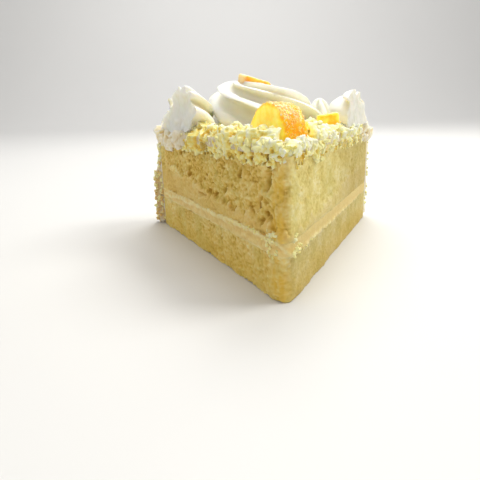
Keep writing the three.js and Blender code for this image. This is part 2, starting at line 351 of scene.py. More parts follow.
@dataclass(frozen=True)
class Relief:
    """One pattern that lifts and sinks a surface along its normals.

    Attributes:
        grain: The size of one lump.
        depth: How far apart its highest and lowest points are; a negative depth sinks the lumps.
        stretch: How much longer than its grain a lump is along X, Y and Z.
        middle: The height of the pattern, 0 to 1, that leaves the surface where it is.
        finer: How many finer sizes of lump are mixed in.
        bounds: The heights of the pattern, 0 to 1, that are drawn apart to 0 and 1.
        area: The area that it is pressed into, or nothing for everywhere.
        pattern: The kind of pattern.
    """

    grain: float
    depth: float
    stretch: Triple = (1, 1, 1)
    middle: float = 0.5
    finer: int = 1
    bounds: Pair | None = None
    area: str = ""
    pattern: Pattern = Pattern.CLOUDS

    def press(self, piece: Piece) -> None:
        """Presses the pattern into a piece, whose skin has to be finer than the grain."""
        texture = bpy.data.textures.new("relief", self.pattern.value)
        texture.noise_scale = 1
        if self.bounds:
            texture.use_color_ramp = True
            for stop, place, shade in zip(texture.color_ramp.elements, self.bounds, (0, 1)):
                stop.position = place
                stop.color = (shade, shade, shade, 1)
        if self.pattern is Pattern.CLOUDS:
            texture.noise_depth = self.finer
        scale = bpy.data.objects.new("relief_scale", None)
        bpy.context.collection.objects.link(scale)
        scale.scale = [self.grain * along for along in self.stretch]
        scale.location = (0.37 * self.grain, 3.1 * self.grain, 1.7 * self.grain)
        bpy.context.view_layer.update()
        Bench.modify(
            piece, "DISPLACE", texture=texture, texture_coords="OBJECT",
            texture_coords_object=scale, strength=self.depth, mid_level=self.middle,
            vertex_group=self.area and self.area + AREA,
        )
        bpy.data.objects.remove(scale)
        bpy.data.textures.remove(texture)


# Materials


class Wire:
    """The output of a shader node, which takes part in Python arithmetic."""

    def __init__(self, recipe: Recipe, socket: bpy.types.NodeSocket) -> None:
        """Wraps a socket of a recipe's material."""
        self.recipe = recipe
        self.socket = socket

    def _math(self, operation: str, left: Value, right: Value) -> Wire:
        """Adds a Math node with its operation and its two values."""
        return self.recipe.add("ShaderNodeMath", {"operation": operation}, {0: left, 1: right})

    def __add__(self, other: Value) -> Wire:
        """Adds."""
        return self._math("ADD", self, other)

    def __sub__(self, other: Value) -> Wire:
        """Subtracts."""
        return self._math("SUBTRACT", self, other)

    def __rsub__(self, other: Value) -> Wire:
        """Subtracts the other way round."""
        return self._math("SUBTRACT", other, self)

    def __mul__(self, other: Value) -> Wire:
        """Multiplies."""
        return self._math("MULTIPLY", self, other)

    __radd__ = __add__
    __rmul__ = __mul__

    def most(self, other: Value) -> Wire:
        """Gives the larger of this and another value."""
        return self._math("MAXIMUM", self, other)

    def between(self, low: float, high: float) -> Wire:
        """Rises smoothly from 0 to 1 as the value goes from low to high, which may be swapped."""
        settings = {"interpolation_type": "SMOOTHSTEP"}
        inputs = {"Value": self, "From Min": low, "From Max": high}
        return self.recipe.add("ShaderNodeMapRange", settings, inputs)


Value = Wire | float
Setting = Wire | float | tuple


class Recipe:
    """A material that is being put together from nodes. Its colours are those of a screen."""

    def __init__(self, name: str) -> None:
        """Starts an empty material with the name given."""
        self.material = bpy.data.materials.new(name)
        self.material.use_nodes = True
        self.tree = self.material.node_tree
        self.tree.nodes.clear()

    def add(
        self, kind: str, settings: dict[str, object], inputs: dict[str | int, Setting],
        output: str | int = 0,
    ) -> Wire:
        """Adds a node.

        Args:
            kind: The node's type.
            settings: Its own settings, such as a Math node's operation.
            inputs: Values or links of its sockets, by name or number.
            output: The name or number of the output that is wanted.

        Returns:
            That output.
        """
        node = self.tree.nodes.new(kind)
        for key, value in settings.items():
            setattr(node, key, value)
        for key, value in inputs.items():
            socket = node.inputs[key]
            if isinstance(value, Wire):
                self.tree.links.new(value.socket, socket)
            elif isinstance(value, tuple) and len(socket.default_value) == 4:
                socket.default_value = (*paint(*value), 1)
            else:
                socket.default_value = value
        return Wire(self, node.outputs[output])

    def place(self, stretch: Triple = (1, 1, 1)) -> Wire:
        """Gives the place on the piece, drawn out along X, Y and Z by the amounts given."""
        place = self.add("ShaderNodeTexCoord", {}, {}, "Object")
        if stretch == (1, 1, 1):
            return place
        inputs = {0: place, 1: tuple(1 / amount for amount in stretch)}
        return self.add("ShaderNodeVectorMath", {"operation": "MULTIPLY"}, inputs)

    def marked(self, name: str) -> Wire:
        """Gives a number that is noted on the piece's vertices."""
        return self.add("ShaderNodeAttribute", {"attribute_name": name}, {}, "Fac")

    def along(self, axis: str) -> Wire:
        """Gives the place along one axis, X, Y or Z."""
        return self.add("ShaderNodeSeparateXYZ", {}, {0: self.place()}, axis)

    def noise(self, grain: float, stretch: Triple = (1, 1, 1), detail: float = 3.0) -> Wire:
        """Gives soft lumps from 0 to 1.

        Args:
            grain: The size of a lump.
            stretch: How much longer it is along X, Y and Z.
            detail: How many finer sizes are mixed in.

        Returns:
            The height of the lumps.
        """
        inputs = {"Vector": self.place(stretch), "Scale": 1 / grain}
        inputs |= {"Detail": detail, "Roughness": 0.55}
        return self.add("ShaderNodeTexNoise", {}, inputs)

    def cells(self, grain: float, stretch: Triple) -> Wire:
        """Gives the distance to the nearest of many scattered points, 0 to about 1."""
        inputs = {"Vector": self.place(stretch), "Scale": 1 / grain}
        return self.add("ShaderNodeTexVoronoi", {}, inputs)

    def ramp(self, value: Wire, stops: list[tuple[float, Colour]]) -> Wire:
        """Turns a value into a colour by a row of stops."""
        colour = self.add("ShaderNodeValToRGB", {}, {0: value})
        row = colour.socket.node.color_ramp.elements
        for number, (place, shade) in enumerate(stops):
            stop = row[number] if number < 2 else row.new(place)
            stop.position = place
            stop.color = (*paint(*shade), 1)
        return colour

    def mix(self, share: Value, first: Setting, second: Setting, blend: str = "MIX") -> Wire:
        """Mixes two colours.

        Args:
            share: How much of the second colour there is.
            first: The first colour.
            second: The second colour.
            blend: How they are mixed.

        Returns:
            The mixed colour.
        """
        settings = {"data_type": "RGBA", "blend_type": blend}
        return self.add("ShaderNodeMix", settings, {0: share, 6: first, 7: second}, 2)

    def dim(self, share: Value, colour: Wire, shade: Colour) -> Wire:
        """Multiplies a colour by a shade, for a share of the whole."""
        return self.mix(share, colour, self.mix(1.0, colour, shade, "MULTIPLY"))

    def bump(self, height: Wire, depth: float, strength: float) -> Wire:
        """Gives a normal that follows a height of 0 to 1, so deep and so strong."""
        inputs = {"Height": height, "Distance": depth, "Strength": strength}
        return self.add("ShaderNodeBump", {}, inputs)

    def surface(
        self, colour: Wire, roughness: float, under: tuple[float, Triple, float] | None = None,
        **sockets: Setting,
    ) -> Material:
        """Ends the material with one Principled shader.

        Args:
            colour: Its colour.
            roughness: Its roughness.
            under: The light under its skin: how much, the share of each colour, and how deep.
            **sockets: Its other values or links, by socket name with _ for a space.

        Returns:
            The finished material.
        """
        inputs = {name.replace("_", " "): value for name, value in sockets.items()}
        inputs |= {"Base Color": colour, "Roughness": roughness}
        if under:
            names = ("Subsurface Weight", "Subsurface Radius", "Subsurface Scale")
            inputs |= dict(zip(names, under))
        shader = self.add("ShaderNodeBsdfPrincipled", {}, inputs)
        node = self.tree.nodes.new("ShaderNodeOutputMaterial")
        self.tree.links.new(shader.socket, node.inputs["Surface"])
        return self.material


# The slice's plan


@dataclass(frozen=True)
class SlicePlan:
    """The plan of the slice: a blunt tip, two cut faces and a round outer side.

    Attributes:
        apex: Where the axis of the whole cake meets the floor.
    """

    apex: Vector

    def outwards(self, side: int) -> Vector:
        """Gives the way out of a cut face, the right one for 1 and the left one for -1."""
        return Vector((side * math.cos(HALF_ANGLE), -math.sin(HALF_ANGLE), 0))

    def at(self, polar: float, radius: float, height: float = 0.0) -> Vector:
        """Gives the place at an angle from the middle of the slice and a distance from its axis."""
        out = radius * Vector((math.sin(polar), math.cos(polar), 0))
        return self.apex + out + Vector((0, 0, height))

    def on_face(self, side: int, along: float, height: float, proud: float) -> Vector:
        """Gives a place on a cut face.

        Args:
            side: 1 for the right face and -1 for the left one.
            along: How far it is from the axis of the whole cake.
            height: Its height.
            proud: How far it stands out of the face.

        Returns:
            The place.
        """
        return self.at(side * HALF_ANGLE, along, height) + proud * self.outwards(side)

    def inside(self, points: np.ndarray) -> np.ndarray:
        """Gives how far inside the nearer cut face each point is."""
        x, y = points[:, 0] - self.apex.x, points[:, 1] - self.apex.y
        return y * math.sin(HALF_ANGLE) - np.abs(x) * math.cos(HALF_ANGLE)

    def radius(self, points: np.ndarray) -> np.ndarray:
        """Gives how far each point is from the axis of the whole cake."""
        return np.hypot(points[:, 0] - self.apex.x, points[:, 1] - self.apex.y)

    def trim(self, piece: Piece) -> None:
        """Cuts a piece to the two cut faces of the slice."""
        for side in (-1, 1):
            Bench.cut(piece, self.apex, self.outwards(side))

    def block(self, name: str, radius: float, foot: float, top: float) -> Piece:
        """Models a block in the plan of the slice.

        Args:
            name: The piece's name.
            radius: The radius of its outer side.
            foot: Its lowest height.
            top: Its highest height.

        Returns:
            The piece.
        """
        middle = self.apex + Vector((0, 0, (foot + top) / 2))
        bpy.ops.mesh.primitive_cylinder_add(
            vertices=ROUND_SIDES, radius=radius, depth=top - foot, location=middle
        )
        piece = Bench.named(name)
        self.trim(piece)
        at_tip = Bench.edges_among(piece, self.radius(Bench.points(piece)) < 0.1 * MM)
        Bench.bevel(piece, at_tip, TIP_ROUND / math.tan(HALF_ANGLE), 6)
        return piece


# Finishes


@dataclass(frozen=True)
class Tones:
    """The colours of a crumbly surface, from its pits, painted darker as shade, to what stands proud,
    painted lighter as highlight.
    """

    pit: Colour
    shade: Colour
    crumb: Colour
    light: Colour

    def over(self, recipe: Recipe, tone: Wire) -> Wire:
        """Colours a tone, 0 to 1, in a recipe."""
        places = (0.14, 0.36, 0.52, 0.8)
        colours = (self.pit, self.shade, self.crumb, self.light)
        return recipe.ramp(tone, list(zip(places, colours)))


@dataclass(frozen=True)
class SpongeFinish:
    """Torn sponge: soft yellow crumb, its pits painted darker as shade, its left face painted darker and
    warmer as shade, its right face painted paler as lit, and painted shade low down and at the rear of
    the right face.

    Attributes:
        plan: The slice's plan.
        name: The material's name.
        left: The colours of the left face, painted darker and warmer as shade.
        right: The colours of the right face, painted paler as lit.
    """

    plan: SlicePlan
    name: str = "sponge_crumb"
    left: Tones = Tones((182, 138, 48), (218, 182, 90), (236, 205, 118), (248, 230, 164))
    right: Tones = Tones((190, 162, 80), (222, 203, 124), (236, 221, 150), (250, 243, 198))

    def material(self) -> Material:
        """Makes the material."""
        r = Recipe(self.name)
        across = r.along("X") - self.plan.apex.x
        out = r.along("Y") - self.plan.apex.y
        height = r.along("Z")
        grain = r.noise(0.7 * MM, DRAGGED)
        broad = r.noise(8 * MM)
        drag = r.noise(2.2 * MM, DRAGGED, 2)
        # Hollows are painted darker as shade and proud grains lighter as highlight, over random grain
        # and broad tone.
        tone = 0.52 + 0.3 * r.marked(HOLLOW) + 0.34 * (grain - 0.5)
        tone = tone + 0.75 * (broad - 0.5) + 0.35 * (drag - 0.5)
        # The left face gets darker, warmer colours as painted shade, and the right face paler ones as
        # painted light.
        right_face = across.between(*mm(-0.5, 2.5))
        colour = r.mix(right_face, self.left.over(r, tone), self.right.over(r, tone))
        olive = r.noise(11 * MM, (1, 1, 1.4), 2).between(0.5, 0.64)
        colour = r.mix(0.3 * olive, colour, (206, 192, 104))
        torn = r.marked(TORN)
        colour = r.dim(0.3 * torn, colour, (226, 216, 160))
        smeared = (1 - torn) * height.between(*mm(30, 24)) * height.between(*mm(12, 16))
        tan = r.mix(right_face, (228, 192, 114), (214, 188, 116))
        colour = r.mix(0.5 * smeared, colour, tan)
        under = height.between(*mm(35, 40.5)) * r.noise(3 * MM, detail=2).between(0.4, 0.6)
        colour = r.mix(0.7 * under, colour, (248, 226, 152))
        low = height.between(*mm(13, 2))
        colour = r.mix(0.4 * low, colour, (242, 204, 84))
        # Painted shade: the right face darker towards the rear and low down.
        rear = right_face * out.between(*mm(30, 80)).most(height.between(*mm(22, 12)))
        colour = r.dim(rear, colour, (224, 219, 212))
        at_tip = out.between(*mm(12, 8)) * r.noise(3 * MM, (1, 1, 2.5), 2).between(0.35, 0.55)
        gold = at_tip * across.between(*mm(-4.2, -2.8)) * across.between(*mm(0.2, -1))
        colour = r.mix(0.55 * gold, colour, (236, 192, 66))
        relief = 0.4 * grain + 0.6 * r.cells(0.8 * MM, DRAGGED)
        return r.surface(
            colour, 0.9, (0.3, (1.0, 0.7, 0.3), 1.5 * MM),
            Specular_IOR_Level=0.2, Normal=r.bump(relief, 0.35 * MM, 0.8),
        )


@dataclass(frozen=True)
class FillingFinish:
    """The cream between the layers, drawn out and mixed with crumb by the knife, with painted shade in
    its hollows and on its right face and a painted highlight on its ridge.

    Attributes:
        middle: Where the middle of the slice is along X.
        name: The material's name.
    """

    middle: float
    name: str = "filling_cream"

    def material(self) -> Material:
        """Makes the material."""
        r = Recipe(self.name)
        smears = r.noise(3 * MM, (1, 1, 0.4), 4)
        # Hollows are painted darker as shade.
        tone = 0.5 + 0.3 * r.marked(HOLLOW) + 0.6 * (smears - 0.5)
        stops = [(0.25, (226, 190, 110)), (0.5, (242, 210, 130)), (0.8, (250, 230, 164))]
        specks = r.noise(0.8 * MM).between(0.42, 0.56)
        # The right face is painted darker tan as shade.
        right_face = (r.along("X") - self.middle).between(0, 4 * MM)
        colour = r.mix(0.7 * right_face, r.ramp(tone, stops), (216, 192, 120))
        # The ridge of cream is painted lighter as a highlight, broken up by specks of crumb.
        light = r.marked(RIDGE) * (0.3 + 0.7 * specks)
        colour = r.mix(0.85 * light, colour, (252, 240, 184))
        return r.surface(
            colour, 0.6, (0.4, (1.0, 0.8, 0.5), 2 * MM), Specular_IOR_Level=0.35,
            Normal=r.bump(r.noise(0.8 * MM, (1, 1, 0.5)), 0.25 * MM, 0.8),
        )


@dataclass(frozen=True)
class CreamFinish:
    """Whipped cream: painted white on its ridges as highlight, and painted warmer and darker in its
    hollows as shade.

    Attributes:
        name: The material's name.
        ridge: The colour of what stands out, painted lighter as highlight.
        body: Its usual colour.
        hollow: The colour of its hollows, painted warmer and darker as shade.
        crust: The colour where crumb or brown skin shows through it.
        scraped: The colour of its cut faces on the right, which are in the shade.
    """

    name: str
    ridge: Colour = (251, 250, 243)
    body: Colour = (243, 242, 231)
    hollow: Colour = (228, 223, 198)
    crust: Colour = (214, 172, 94)
    scraped: Colour = (226, 224, 210)

    def material(self) -> Material:
        """Makes the material."""
        r = Recipe(self.name)
        # Hollows are painted darker as shade and ridges lighter as highlight, over a soft random tone.
        tone = 0.5 + 0.5 * r.marked(HOLLOW) + 0.3 * (r.noise(9 * MM) - 0.5)
        stops = [(0.2, self.hollow), (0.5, self.body), (0.8, self.ridge)]
        baked = r.marked(CRUST) * r.noise(4 * MM).between(0.2, 0.5)
        colour = r.mix(0.9 * baked, r.ramp(tone, stops), self.crust)
        # Painted shade: the cut faces on the right are darkened.
        shaded_right_cut = r.marked(SCRAPED) * r.along("X").between(0, 10 * MM)
        colour = r.mix(0.6 * shaded_right_cut, colour, self.scraped)
        bubbles = r.noise(0.5 * MM, detail=2)
        return r.surface(
            colour, 0.5, (0.6, (1.0, 0.85, 0.55), 4 * MM),
            Specular_IOR_Level=0.35, Normal=r.bump(bubbles, 0.08 * MM, 0.5),
        )


@dataclass(frozen=True)
class CrumbFinish:
    """Crumbs of cake, with open pores, from yellow ones to ones white with cream, painted darker in
    their clefts as shade and lighter on their tops as highlight.

    Attributes:
        name: The material's name.
        yellow: The colours of the yellow ones.
        white: The colours of the white ones.
        depth: How deep light goes into them.
    """

    name: str
    yellow: Tones = Tones((222, 178, 72), (248, 214, 104), (255, 234, 134), (255, 248, 184))
    white: Tones = Tones((238, 208, 94), (255, 241, 146), (255, 252, 192), (255, 255, 232))
    depth: float = 0.4 * MM

    def material(self) -> Material:
        """Makes the material."""
        r = Recipe(self.name)
        grain = r.noise(0.6 * MM)
        # Hollows are painted darker as shade and what stands out lighter as highlight.
        tone = 0.56 + 0.5 * r.marked(HOLLOW) + 0.3 * (grain - 0.5)
        tint = r.marked(TINT) + 0.6 * (r.noise(3 * MM, detail=2) - 0.5)
        share = tint.between(0.1, 1.0)
        colour = r.mix(share, self.yellow.over(r, tone), self.white.over(r, tone))
        return r.surface(
            colour, 0.9, (0.4, (1.0, 0.97, 0.9), self.depth),
            Specular_IOR_Level=0.2, Normal=r.bump(grain, 0.3 * MM, 0.7),
        )


@dataclass(frozen=True)
class JellyFinish:
    """Citrus jelly that light passes into, with a painted glow from its own emission.

    Attributes:
        name: The material's name.
        deep: Its deepest colour.
        clear: Its clearest colour.
        glow: How much light comes out of it, a painted glow that stands in for light shining through.
        pale: The colour of its left end, where that is paler.
        pale_until: How far across the slice the paler end goes.
    """

    name: str
    deep: Colour
    clear: Colour
    glow: float = 0.15
    pale: Colour | None = None
    pale_until: float = 0.0

    def material(self) -> Material:
        """Makes the material."""
        r = Recipe(self.name)
        colour = r.mix(r.noise(2.5 * MM).between(0.35, 0.65), self.deep, self.clear)
        if self.pale:
            edge = r.along("X") + 3 * MM * r.noise(3 * MM)
            share = edge.between(self.pale_until + 3 * MM, self.pale_until)
            colour = r.mix(0.85 * share, colour, self.pale)
        # The emission is a painted glow that stands in for light shining through the jelly.
        return r.surface(
            colour, 0.3, (0.9, (1.0, 0.6, 0.15), 5 * MM), Coat_Weight=0.2, Coat_Roughness=0.2,
            Emission_Color=colour, Emission_Strength=self.glow,
            Normal=r.bump(r.noise(0.8 * MM), 0.2 * MM, 0.5),
        )


@dataclass(frozen=True)
class CitrusFinish:
    """A citrus piece: clear yellow flesh in an orange peel, with a painted glow from its own emission.

    Attributes:
        name: The material's name.
        flesh: The flesh's deep and clear colours.
        peel: The peel's deep and clear colours.
    """

    name: str = "citrus"
    flesh: tuple[Colour, Colour] = ((255, 220, 66), (255, 240, 128))
    peel: tuple[Colour, Colour] = ((255, 162, 0), (255, 206, 24))

    def material(self) -> Material:
        """Makes the material."""
        r = Recipe(self.name)
        clear = r.noise(3 * MM).between(0.3, 0.7)
        pores = r.noise(1.2 * MM).between(0.3, 0.7)
        colour = r.mix(r.marked(PEEL), r.mix(clear, *self.flesh), r.mix(pores, *self.peel))
        # The emission is a painted glow that stands in for light shining through the citrus.
        return r.surface(
            colour, 0.35, (1.0, (1.0, 0.7, 0.2), 9 * MM), Coat_Weight=0.15, Coat_Roughness=0.25,
            Emission_Color=colour, Emission_Strength=0.22,
            Normal=r.bump(r.noise(0.8 * MM), 0.15 * MM, 0.5),
        )


@dataclass(frozen=True)
class SugarFinish:
    """Sugar crystals: dry and white on top, soaked and amber lower down, with a painted glow from their
    own emission.

    Attributes:
        name: The material's name.
        dry: The colours of the dry ones.
        soaked: The colours of the soaked ones.
        between: The heights where the soaked ones end and the dry ones begin.
    """

    name: str = "sugar"
    dry: tuple[Colour, Colour] = ((255, 240, 190), (255, 214, 112))
    soaked: tuple[Colour, Colour] = ((255, 220, 112), (255, 192, 48))
    between: Pair = mm(46.5, 52)

    def material(self) -> Material:
        """Makes the material."""
        r = Recipe(self.name)
        mottle = r.noise(2 * MM).between(0.4, 0.6)
        upper = r.along("Z").between(*self.between)
        colour = r.mix(upper, r.mix(mottle, *self.soaked), r.mix(mottle, *self.dry))
        # The emission is a painted glow that keeps the crystals bright.
        return r.surface(colour, 0.3, Emission_Color=colour, Emission_Strength=0.12)


@dataclass(frozen=True)
class FloorFinish:
    """The pale studio floor."""

    name: str = "studio_floor"

    def material(self) -> Material:
        """Makes the material."""
        r = Recipe(self.name)
        return r.surface(r.mix(r.noise(0.4), (218, 217, 215), (222, 221, 219)), 0.6)


def dress(piece: Piece, material: Material, slot: str, *nodes: str, grainy: bool = False) -> None:
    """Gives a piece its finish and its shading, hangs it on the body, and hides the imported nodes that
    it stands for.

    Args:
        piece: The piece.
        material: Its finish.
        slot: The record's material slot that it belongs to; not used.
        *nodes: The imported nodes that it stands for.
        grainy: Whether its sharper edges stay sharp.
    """
    piece.data.materials.clear()
    piece.data.materials.append(material)
    Bench.take(piece)
    if grainy:
        bpy.ops.object.shade_smooth_by_angle(angle=math.radians(40))
    else:
        bpy.ops.object.shade_smooth()
    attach(piece, BODY)
    if nodes:
        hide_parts(*nodes)
    triangles = sum(len(face.vertices) - 2 for face in piece.data.polygons)
    log.info("%s: %d triangles", piece.name, triangles)


# The layers


@dataclass(frozen=True)
class Gouge:
    """A groove or a pit that was torn out of the left cut face.

    Attributes:
        top: Its upper end: how far along the face, and how high.
        foot: Its lower end.
        width: Its width.
    """

    top: Pair
    foot: Pair
    width: float

    def weight(self, along: np.ndarray, height: np.ndarray) -> np.ndarray:
        """Gives how deep in the gouge each point of the face is, 0 to 1."""
        run, rise = (low - high for high, low in zip(self.top, self.foot))
        across, down = along - self.top[0], height - self.top[1]
        share = unit((across * run + down * rise) / (run * run + rise * rise))
        beside = np.hypot(across - share * run, down - share * rise)
        return np.exp(-((beside / self.width) ** 2))


GOUGES = (
    Gouge(mm(10.8, 38), mm(13.9, 31), 1.1 * MM),
    Gouge(mm(54, 43), mm(60, 38.5), 1.2 * MM),
    Gouge(mm(58, 22.6), mm(64, 22.4), 0.9 * MM),
    Gouge(mm(40, 28), mm(42, 26.5), 1.1 * MM),
    Gouge(mm(17, 28), mm(18.5, 24.5), 0.9 * MM),
    Gouge(mm(30, 36), mm(31, 33), 0.9 * MM),
)


@dataclass(frozen=True)
class Zones:
    """The parts of a layer's cut faces, as vertex groups and notes for its finish.

    Attributes:
        right_share: How rough the right face is, as a share of the left one.
        ridge_left: The height of the ridge of cream on the left face.
        ridge_right: The height of the ridge of cream on the right face.
    """

    right_share: float = 0.4
    ridge_left: float = 17.3 * MM
    ridge_right: float = 13.9 * MM

    def smear_top(self, along: np.ndarray, right: np.ndarray) -> np.ndarray:
        """Gives the ragged height where the smear of cream ends and the torn crumb begins."""
        stops = np.array([0, 15, 58, 66, 97, 112]) * MM
        left_face = np.interp(along, stops, np.array([18.5, 21, 22, 26.5, 28, 26]) * MM)
        right_face = np.interp(along, stops, np.array([18, 19, 22, 25, 26, 26]) * MM)
        teeth = 1.7 * drift(along, 3.9 * MM, 1) + 1.3 * drift(along, 1.4 * MM, 2)
        return left_face + (right_face - left_face) * right + teeth * MM

    def mark(self, piece: Piece, plan: SlicePlan) -> None:
        """Adds the vertex groups and the notes to a piece.

        Args:
            piece: The piece, with its fine even skin.
            plan: The slice's plan.
        """
        points = Bench.points(piece)
        height, radius = points[:, 2], plan.radius(points)
        shown = 1 - unit((plan.inside(points) - 0.6 * MM) / (1.2 * MM))
        shown[radius < 1.5 * TIP_ROUND / math.sin(HALF_ANGLE)] = 1
        shown *= unit((SPONGE_RADIUS - radius) / (3 * MM))
        right = unit((points[:, 0] - plan.apex.x) / (4 * MM) + 0.5)
        share = 1 + (self.right_share - 1) * right
        Bench.weigh(piece, CUT, shown * share)
        torn = unit((height - self.smear_top(radius, right)) / (1.6 * MM))
        torn *= np.clip((42 * MM - height) / (3 * MM), 0.35, 1)
        torn *= np.clip((SPONGE_RADIUS - radius) / (25 * MM), 0.3, 1)
        Bench.weigh(piece, TORN, shown * share * torn)
        Bench.note(piece, TORN, torn)
        gouged = sum(gouge.weight(radius, height) for gouge in GOUGES)
        Bench.weigh(piece, GOUGED, shown * (1 - right) * gouged)
        level = self.ridge_left + (self.ridge_right - self.ridge_left) * right
        level += (0.6 * drift(radius, 11 * MM, 3) + 0.3 * drift(radius, 2.6 * MM, 4)) * MM
        level += unit((radius - 60 * MM) / (50 * MM)) * (-1.5 * MM)
        ridge = np.exp(-(((height - level) / (0.65 * MM)) ** 2))
        ridge *= 0.6 + 0.4 * drift(radius, 1.8 * MM, 5)
        Bench.mark(piece, RIDGE, shown * ridge)


@dataclass
class Layer:
    """One layer that shows at the cuts.

    Attributes:
        name: The piece's name.
        node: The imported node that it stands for.
        slot: The record's material slot.
        cell: The size of its skin's squares.
        reliefs: What roughens its cut faces, coarse to fine.
        below: How far it reaches under its node, into the layer below.
        above: How far it reaches over its node.
        ridge: How far the ridge of cream stands out.
        recess: How deep the torn crumb lies.
        gouged: How deep the gouges are.
    """

    name: str
    node: str
    slot: str
    cell: float
    reliefs: list[Relief]
    below: float = 0.0
    above: float = 0.0
    ridge: float = 0.0
    recess: float = 0.0
    gouged: float = 0.0

    def build(self, plan: SlicePlan, zones: Zones, material: Material) -> Piece:
        """Models the layer and gives it its finish.

        Args:
            plan: The slice's plan.
            zones: Where its cut faces are rough.
            material: The layer's finish.

        Returns:
            The piece.
        """
        low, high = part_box(self.node)
        foot, top = low[2] - self.below, high[2] + self.above
        piece = plan.block(self.name, SPONGE_RADIUS, foot, top)
        Bench.remesh(piece, self.cell)
        Bench.modify(piece, "SMOOTH", iterations=4)
        zones.mark(piece, plan)
        Bench.swell(piece, TORN, -self.recess)
        Bench.swell(piece, RIDGE, self.ridge)
        for relief in self.reliefs:
            relief.press(piece)
        Bench.swell(piece, GOUGED, -self.gouged)
        Bench.settle(piece)
        Bench.mark_hollows(piece, 5, 0.35 * MM)
        dress(piece, material, self.slot, self.node, grainy=True)
        return piece


# The swirls


# How far inside the radius each point of one ridge lies, from its crest down into the crease.
LOBE = (0, 0.005, 0.02, 0.055, 0.11, 0.18, 0.21, 0.08)

# How deep the deepest crease is sunk once the swirl is drawn up.
CREASE_DEPTH = 3.2 * MM

# The least width of a swirl, as a share of its widest, and how late its ridges go round.
PEAK_WIDTH = 0.02
WIND = 2.0

# The squares of the swirls' skins.
CREAM_CELL = 0.45 * MM


@dataclass
class Swirl:
    """A round of piped cream, whose ridges climb round it to a point.

    Attributes:
        name: The piece's name.
        step: How far round the cake it stands from the middle of the slice, in degrees.
        ring: How far it stands from the axis of the whole cake.
        radius: Its radius at the widest.
        height: Its height.
        power: How full its dome is.
        twist: How far its ridges go round from foot to top.
        start: The angle of its first ridge.
        lean: How far its top stands from the middle of its foot, along X and Y.
        bend: How late it leans over.
        crease: How deep the creases are between the ridges, as a share of the deepest.
        lobes: How many ridges it has.
        levels: How many steps it is drawn up in.
    """

    name: str
    step: float
    ring: float
    radius: float
    height: float
    power: float
    twist: float
    start: float
    lean: Pair = (0.0, 0.0)
    bend: float = 1.0
    crease: float = 1.0
    lobes: int = 6
    levels: int = 13

    def centre(self, plan: SlicePlan) -> Vector:
        """Gives the middle of its foot, on the floor."""
        return plan.at(math.radians(self.step), self.ring)

    def width(self, rise: float) -> float:
        """Gives its radius at a share of its height, as a share of its widest."""
        bulge = 0.94 + 0.06 * math.sin(math.pi * min(0.5, rise * 1.6))
        return bulge * (1 - rise**self.power) ** 0.57

    def star(self, centre: Vector) -> Piece:
        """Models the foot about its centre: a star whose ridges are steep on one side."""
        around = self.lobes * len(LOBE)
        bpy.ops.mesh.primitive_circle_add(
            vertices=around, radius=self.radius, fill_type="NGON", location=centre
        )
        piece = Bench.named(self.name)
        points = Bench.points(piece) - np.array(centre)
        angles = np.arctan2(points[:, 1], points[:, 0])
        place = np.rint(angles / (2 * math.pi) * around).astype(int) % len(LOBE)
        for number, depth in enumerate(LOBE):
            with Bench.editing(piece, Part.VERTS, place == number):
                Bench.resize(1 - self.crease * depth, centre)
        Bench.note(piece, CREASE, np.array(LOBE)[place] / max(LOBE))
        with Bench.editing(piece, Part.VERTS):
            Bench.turn(-self.start, centre)
        return piece

    def sink_creases(self, piece: Piece, peak: Vector) -> None:
        """Sinks the creases between the ridges, less where they meet at the peak."""
        away = np.hypot(*(Bench.points(piece)[:, :2] - np.array(peak.xy)).T)
        depth = Bench.read(piece.data.attributes[CREASE].data, "value", 1)[:, 0]
        Bench.weigh(piece, CREASE, depth * unit(away / (0.4 * self.radius)))
        Bench.swell(piece, CREASE, -CREASE_DEPTH * self.crease)

    def model(self, plan: SlicePlan, foot: float) -> Piece:
        """Draws the star up into the whole swirl.

        Args:
            plan: The slice's plan.
            foot: The height of its foot.

        Returns:
            The piece.
        """
        middle = self.centre(plan) + Vector((0, 0, foot))
        piece = self.star(middle)
        rises = [math.sin(math.pi / 2 * i / self.levels) ** 0.9 for i in range(self.levels)]
        with Bench.editing(piece, Part.FACES):
            Bench.resize(self.width(0), middle)
            for before, rise in zip(rises, rises[1:] + [1.0]):
                lean = rise**self.bend - before**self.bend
                up = (rise - before) * self.height
                step = Vector((self.lean[0] * lean, self.lean[1] * lean, up))
                bpy.ops.mesh.extrude_region_move(TRANSFORM_OT_translate={"value": step})
                middle = middle + step
                Bench.resize(max(self.width(rise), PEAK_WIDTH) / self.width(before), middle)
                Bench.turn(self.twist * (rise**WIND - before**WIND), middle)
            bpy.ops.mesh.merge(type="CENTER")
        with Bench.editing(piece, Part.FACES):
            bpy.ops.mesh.remove_doubles(threshold=1e-6)
            bpy.ops.mesh.select_all(action="SELECT")
            bpy.ops.mesh.normals_make_consistent(inside=False)
        self.sink_creases(piece, middle)
        Bench.modify(piece, "SUBSURF", levels=2, render_levels=2)
        return piece


